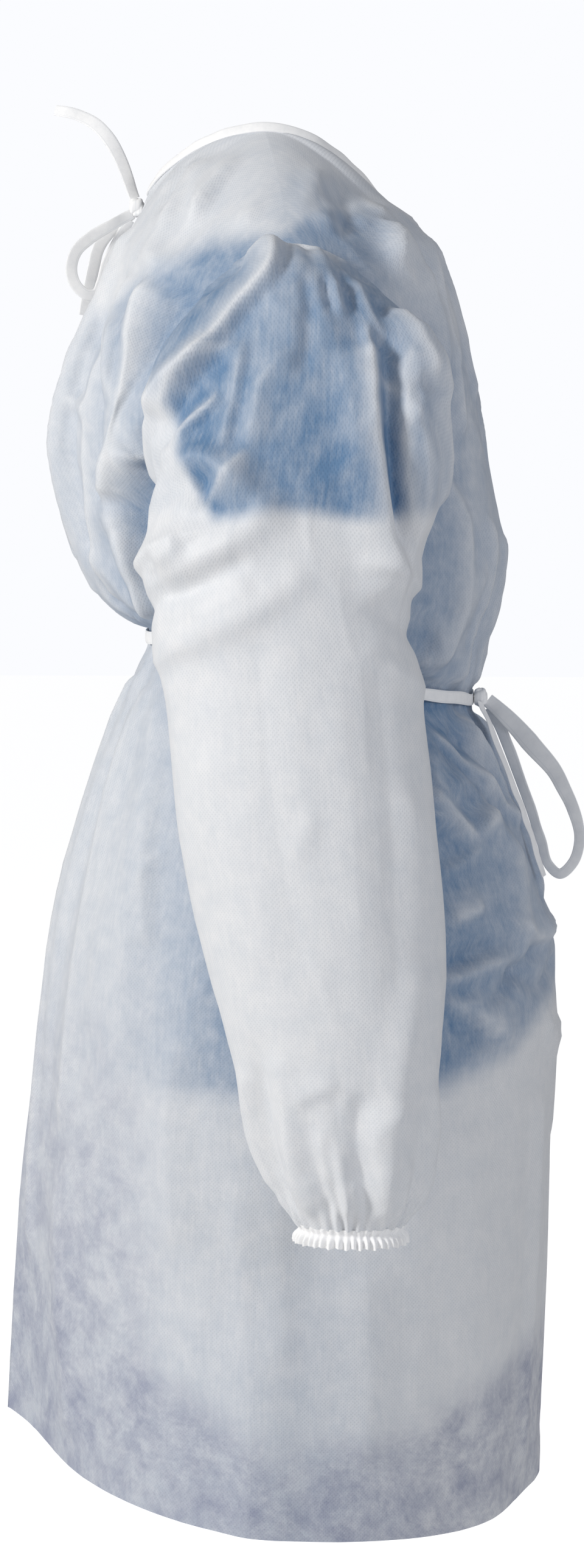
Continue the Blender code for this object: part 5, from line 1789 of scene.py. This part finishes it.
@dataclass
class WaistBelt:
    """The tape round the waist, drawn tight over the gathers."""
    gap: float = 0.0023
    sway: float = 0.0006
    small_sway: float = 0.0005

    def build(self, material: bpy.types.Material) -> bpy.types.Object:
        """Make the closed belt.

        Args:
            material: The folded tape finish.

        Returns:
            The new object.
        """
        top = BELT_TOP
        turn = np.linspace(0.0, 2 * math.pi, 421)
        half_width = top.half_width + self.gap - TAPE_THICK / 2
        forward = top.side_y - top.front_y + self.gap - TAPE_THICK / 2
        backward = top.back_y - top.side_y + self.gap - TAPE_THICK / 2
        depth = np.where(np.cos(turn) > 0, forward, backward)
        y = top.side_y - depth * np.cos(turn)
        x = half_width * np.sin(turn)
        height = FORM.belt_height(y) + self.sway * np.sin(9 * turn)
        height = height + self.small_sway * np.sin(14 * turn)
        path = np.stack([x, y, height], axis=-1)
        outward = unit(np.stack([x / half_width ** 2, (y - top.side_y) / depth ** 2, 0 * x],
                                axis=-1))
        width = TAPE_WIDTH * (1.0 + 0.05 * np.sin(11 * turn) + 0.04 * np.sin(17 * turn))
        piece = Tape("gown_waist_belt", path, outward, width, TAPE_THICK, 0.0, True).build(material)
        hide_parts("waist_belt")
        return piece


@dataclass
class TiedKnot:
    """A small tight knot of folded tape: a lump with the turns of the tape round it."""
    name: str
    node: str
    place: tuple
    half_sizes: tuple
    turns: float = 1.5

    def build(self, material: bpy.types.Material) -> bpy.types.Object:
        """Make the knot from a round grid pressed into turns.

        Args:
            material: The folded tape finish.

        Returns:
            The new object.
        """
        tilt = np.linspace(0.04, math.pi - 0.04, 49)[:, None]
        turn = np.linspace(0.0, 2 * math.pi, 65)[None, :]
        turns = np.abs(np.sin(self.turns * (tilt * 1.6 + turn))) ** 0.6
        swell = 0.84 + 0.16 * turns + 0.03 * np.sin(3 * turn + 1.0) * np.sin(tilt)
        ball = np.stack(np.broadcast_arrays(
            np.sin(tilt) * np.cos(turn), np.sin(tilt) * np.sin(turn), np.cos(tilt)), axis=-1)
        ball = np.sign(ball) * np.abs(ball) ** 0.72
        points = ball * swell[..., None] * np.array(self.half_sizes) * 1.04
        points[0], points[-1] = points[0].mean(axis=0), points[-1].mean(axis=0)
        placed = points + np.array(self.place)
        uv = np.stack(np.broadcast_arrays(turn * 0.006, tilt * 0.007), axis=-1)
        cloth = Cloth(self.name, placed, ball, thickness=0.0, tube=True, uv=uv)
        piece = cloth.build(material, "tape")
        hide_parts(self.node)
        return piece


@dataclass
class TiePath:
    """One loop or free end of a tie, from its knot outwards."""
    name: str
    node: str
    places: tuple
    start_facing: tuple
    end_facing: tuple
    widths: tuple
    steps: int = 10

    def build(self, material: bpy.types.Material) -> bpy.types.Object:
        """Make the tape of this loop or end.

        Args:
            material: The folded tape finish.

        Returns:
            The new object.
        """
        path = smooth_path(self.places, self.steps)
        share = np.linspace(0.0, 1.0, len(path))[:, None]
        facing = np.array(self.start_facing) * (1 - share) + np.array(self.end_facing) * share
        spots = np.linspace(0.0, 1.0, len(self.widths))
        width = np.interp(share[:, 0], spots, self.widths)
        piece = Tape(self.name, path, facing, width).build(material)
        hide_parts(self.node)
        return piece


@dataclass
class Ties:
    """The neck tie and the belt's bow, each from its own knot."""
    neck_knot: TiedKnot = field(default_factory=lambda: TiedKnot(
        "gown_neck_knot", "neck_knot", (-0.0003, 0.1270, -0.0476), (0.0060, 0.0062, 0.0075)))
    belt_knot: TiedKnot = field(default_factory=lambda: TiedKnot(
        "gown_belt_knot", "belt_knot", (-0.006, -0.1547, -0.4455), (0.0085, 0.0055, 0.0075)))
    paths: tuple = (
        TiePath("gown_neck_tie_end_up", "neck_tie_end_up", (
            (-0.0011, 0.1285, -0.0402), (-0.003, 0.1340, -0.0240), (-0.005, 0.1400, -0.0080),
            (-0.006, 0.1480, 0.0060), (-0.006, 0.1600, 0.0190), (-0.006, 0.1740, 0.0265),
            (-0.005, 0.1930, 0.0310)),
            (1.0, 0.5, 0.2), (1.0, 0.1, -0.2), (0.0085, 0.010, 0.011, 0.010, 0.009)),
        TiePath("gown_neck_tie_end_down", "neck_tie_end_down", (
            (0.0017, 0.1314, -0.0527), (0.006, 0.1480, -0.0640), (0.006, 0.1590, -0.0780),
            (0.005, 0.1640, -0.0960), (0.004, 0.1680, -0.1150), (0.003, 0.1715, -0.1340)),
            (1.0, 0.3, 0.2), (1.0, 0.5, 0.0), (0.0085, 0.0100, 0.0100, 0.0095)),
        TiePath("gown_neck_tie_loop", "neck_tie_loop", (
            (-0.0036, 0.1307, -0.0531), (-0.0100, 0.1450, -0.0620), (-0.016, 0.1620, -0.0730),
            (-0.019, 0.1740, -0.0845), (-0.020, 0.1780, -0.0985), (-0.019, 0.1745, -0.1115),
            (-0.016, 0.1660, -0.1190), (-0.013, 0.1585, -0.1180), (-0.011, 0.1540, -0.1080),
            (-0.007, 0.1500, -0.0930), (-0.003, 0.1430, -0.0760), (-0.0006, 0.1330, -0.0574)),
            (1.0, 0.3, 0.3), (1.0, 0.5, -0.2), (0.0085, 0.0100, 0.0095, 0.0090, 0.0100, 0.0085)),
        TiePath("gown_belt_bow_loop", "belt_bow_loop", (
            (-0.0095, -0.1608, -0.4478), (-0.014, -0.1770, -0.4620), (-0.018, -0.1965, -0.4830),
            (-0.021, -0.2140, -0.5030), (-0.023, -0.2255, -0.5240), (-0.024, -0.2335, -0.5440),
            (-0.024, -0.2355, -0.5620), (-0.023, -0.2310, -0.5780), (-0.021, -0.2200, -0.5880),
            (-0.018, -0.2110, -0.5810), (-0.016, -0.2055, -0.5640), (-0.014, -0.1980, -0.5410),
            (-0.012, -0.1895, -0.5170), (-0.010, -0.1815, -0.4960), (-0.008, -0.1730, -0.4740),
            (-0.0062, -0.1628, -0.4535)),
            (1.0, -0.2, 0.2), (1.0, -0.5, 0.0),
            (0.0120, 0.0165, 0.0120, 0.0090, 0.0085, 0.0085, 0.0090, 0.0100, 0.0105)),
        TiePath("gown_belt_tie_end", "belt_tie_end", (
            (-0.0158, -0.1548, -0.4491), (-0.028, -0.1650, -0.4720), (-0.036, -0.1760, -0.5000),
            (-0.040, -0.1880, -0.5300), (-0.041, -0.1985, -0.5600), (-0.040, -0.2070, -0.5880)),
            (0.5, 1.0, -0.3), (0.4, 1.0, -0.3), (0.0085, 0.0100, 0.0100, 0.0095)),
    )

    def build(self, material: bpy.types.Material) -> list:
        """Make both knots and every loop and end.

        Args:
            material: The folded tape finish.

        Returns:
            The new objects, knots first.
        """
        made = [self.neck_knot.build(material), self.belt_knot.build(material)]
        return made + [path.build(material) for path in self.paths]


@dataclass(frozen=True)
class SoftBox:
    """One square soft box that looks at the middle of the gown."""
    name: str
    place: tuple
    size: float
    power: float
    colour: str
    aim: tuple = (0.0, 0.0, -0.5)

    def build(self) -> None:
        """Hang the soft box and turn it to the gown.

        Its colour is given in sRGB, as every colour here.
        """
        data = bpy.data.lights.new(self.name, "AREA")
        data.shape = "SQUARE"
        data.size = self.size
        data.energy = self.power
        data.color = linear_colour(self.colour)[:3]
        lamp = bpy.data.objects.new(self.name, data)
        lamp.location = self.place
        look = Vector(self.aim) - Vector(self.place)
        lamp.rotation_euler = look.to_track_quat("-Z", "Y").to_euler()
        bpy.context.scene.collection.objects.link(lamp)


@dataclass
class Studio:
    """Camera, soft light, pale floor and white surroundings."""
    distance: float = 2.30
    turn: float = math.radians(5)
    pitch: float = math.radians(4.2)
    height: float = -0.349
    focal_pixels: float = 4600.0
    picture_height: float = 2576.0
    sensor: float = 36.0
    floor_height: float = -1.48
    floor_half_size: float = 30.0
    floor_white: str = "#F4F4F4"
    floor_glow: float = 0.70
    room_white: str = "#FBFCFF"
    room_light: float = 0.33
    soft_boxes: tuple = (
        SoftBox("key_softbox", (-1.85, 2.30, 0.80), 0.60, 70.0, "#FFFDFA"),
        SoftBox("fill_softbox", (-1.9, -2.1, 0.2), 1.2, 16.0, "#F4F7FF"),
    )

    def add_camera(self) -> None:
        """Place the camera at the photograph's angle and distance.

        Its lens follows from the focal length in the photo's own pixels.
        """
        data = bpy.data.cameras.new("studio_camera")
        data.sensor_fit = "VERTICAL"
        data.sensor_height = self.sensor
        data.lens = self.focal_pixels / self.picture_height * self.sensor
        camera = bpy.data.objects.new("studio_camera", data)
        away = Vector((-math.cos(self.turn), -math.sin(self.turn), 0.0))
        camera.location = away * self.distance + Vector((0.0, 0.0, self.height))
        look = -away * math.cos(self.pitch) - Vector((0.0, 0.0, math.sin(self.pitch)))
        camera.rotation_euler = look.to_track_quat("-Z", "Y").to_euler()
        bpy.context.scene.collection.objects.link(camera)
        bpy.context.scene.camera = camera

    def add_floor(self) -> None:
        """Lay a wide pale floor.

        It glows only where the camera sees it, so that it is as white as the room behind it.
        """
        mesh = bmesh.new()
        bmesh.ops.create_grid(mesh, x_segments=1, y_segments=1, size=self.floor_half_size)
        bmesh.ops.translate(mesh, vec=(0.0, 0.0, self.floor_height), verts=mesh.verts)
        data = bpy.data.meshes.new("studio_floor")
        mesh.to_mesh(data)
        mesh.free()
        paint = bpy.data.materials.new("matte_white_floor_paint")
        paint.use_nodes = True
        shader = paint.node_tree.nodes["Principled BSDF"]
        shader.inputs["Base Color"].default_value = linear_colour(self.floor_white)
        shader.inputs["Roughness"].default_value = 0.9
        shown = add_node(paint.node_tree, "ShaderNodeLightPath").outputs["Is Camera Ray"]
        glow = ranged(paint.node_tree, shown, 0.0, 1.0, 0.0, self.floor_glow)
        paint.node_tree.links.new(glow, shader.inputs["Emission Strength"])
        data.materials.append(paint)
        floor = bpy.data.objects.new("studio_floor", data)
        bpy.context.scene.collection.objects.link(floor)

    def add_surroundings(self) -> None:
        """Fill the room with even white light, brighter where it is seen than where it lights.

        A light path node tells the two apart, and the world's own colour stays the same.
        """
        world = bpy.data.worlds.new("studio_room")
        world.use_nodes = True
        tree = world.node_tree
        shown = add_node(tree, "ShaderNodeLightPath").outputs["Is Camera Ray"]
        strength = ranged(tree, shown, 0.0, 1.0, self.room_light, 1.0)
        back = tree.nodes["Background"]
        back.inputs["Color"].default_value = linear_colour(self.room_white)
        tree.links.new(strength, back.inputs["Strength"])
        bpy.context.scene.world = world

    def build(self) -> None:
        """Set up the whole studio.

        The camera and the room come first, then the soft boxes and the plain colour transform.
        """
        self.add_camera()
        self.add_floor()
        self.add_surroundings()
        for box in self.soft_boxes:
            box.build()
        view = bpy.context.scene.view_settings
        view.view_transform = "Standard"
        view.look = "None"


def declare_sheets(body: list, sleeves: list, cuffs: list, binding: bpy.types.Object,
                   belt: bpy.types.Object, ties: list) -> None:
    """Go through some of the cloth pieces without doing anything with them.

    Args:
        body: Front, right back and left back panels; not used.
        sleeves: Right and left sleeves.
        cuffs: Right and left cuffs.
        binding: The neck binding; not used.
        belt: The waist belt; not used.
        ties: Knots first, and then the loops and ends in the order of Ties.paths.
    """
    for sleeve in sleeves:
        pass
    for cuff in cuffs:
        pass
    lengths = (0.10, 0.11, 0.22, 0.36, 0.16)
    for piece, length in zip(ties[2:], lengths):
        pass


def main() -> None:
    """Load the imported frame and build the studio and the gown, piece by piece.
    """
    logging.basicConfig(level=logging.INFO, format="%(message)s")
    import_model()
    noise.seed_set(NOISE_SEED)
    Studio().build()
    nonwoven = SpunbondNonwoven().build()
    tape = FoldedTape("folded_nonwoven_tape").build()
    body = Bodice().build(nonwoven)
    sleeves = Sleeves().build(nonwoven)
    cuffs = ElasticCuffs().build(tape)
    binding = NeckBinding().build(tape)
    belt = WaistBelt().build(tape)
    ties = Ties().build(tape)
    declare_sheets(body, sleeves, cuffs, binding, belt, ties)


if __name__ == "__main__":
    main()
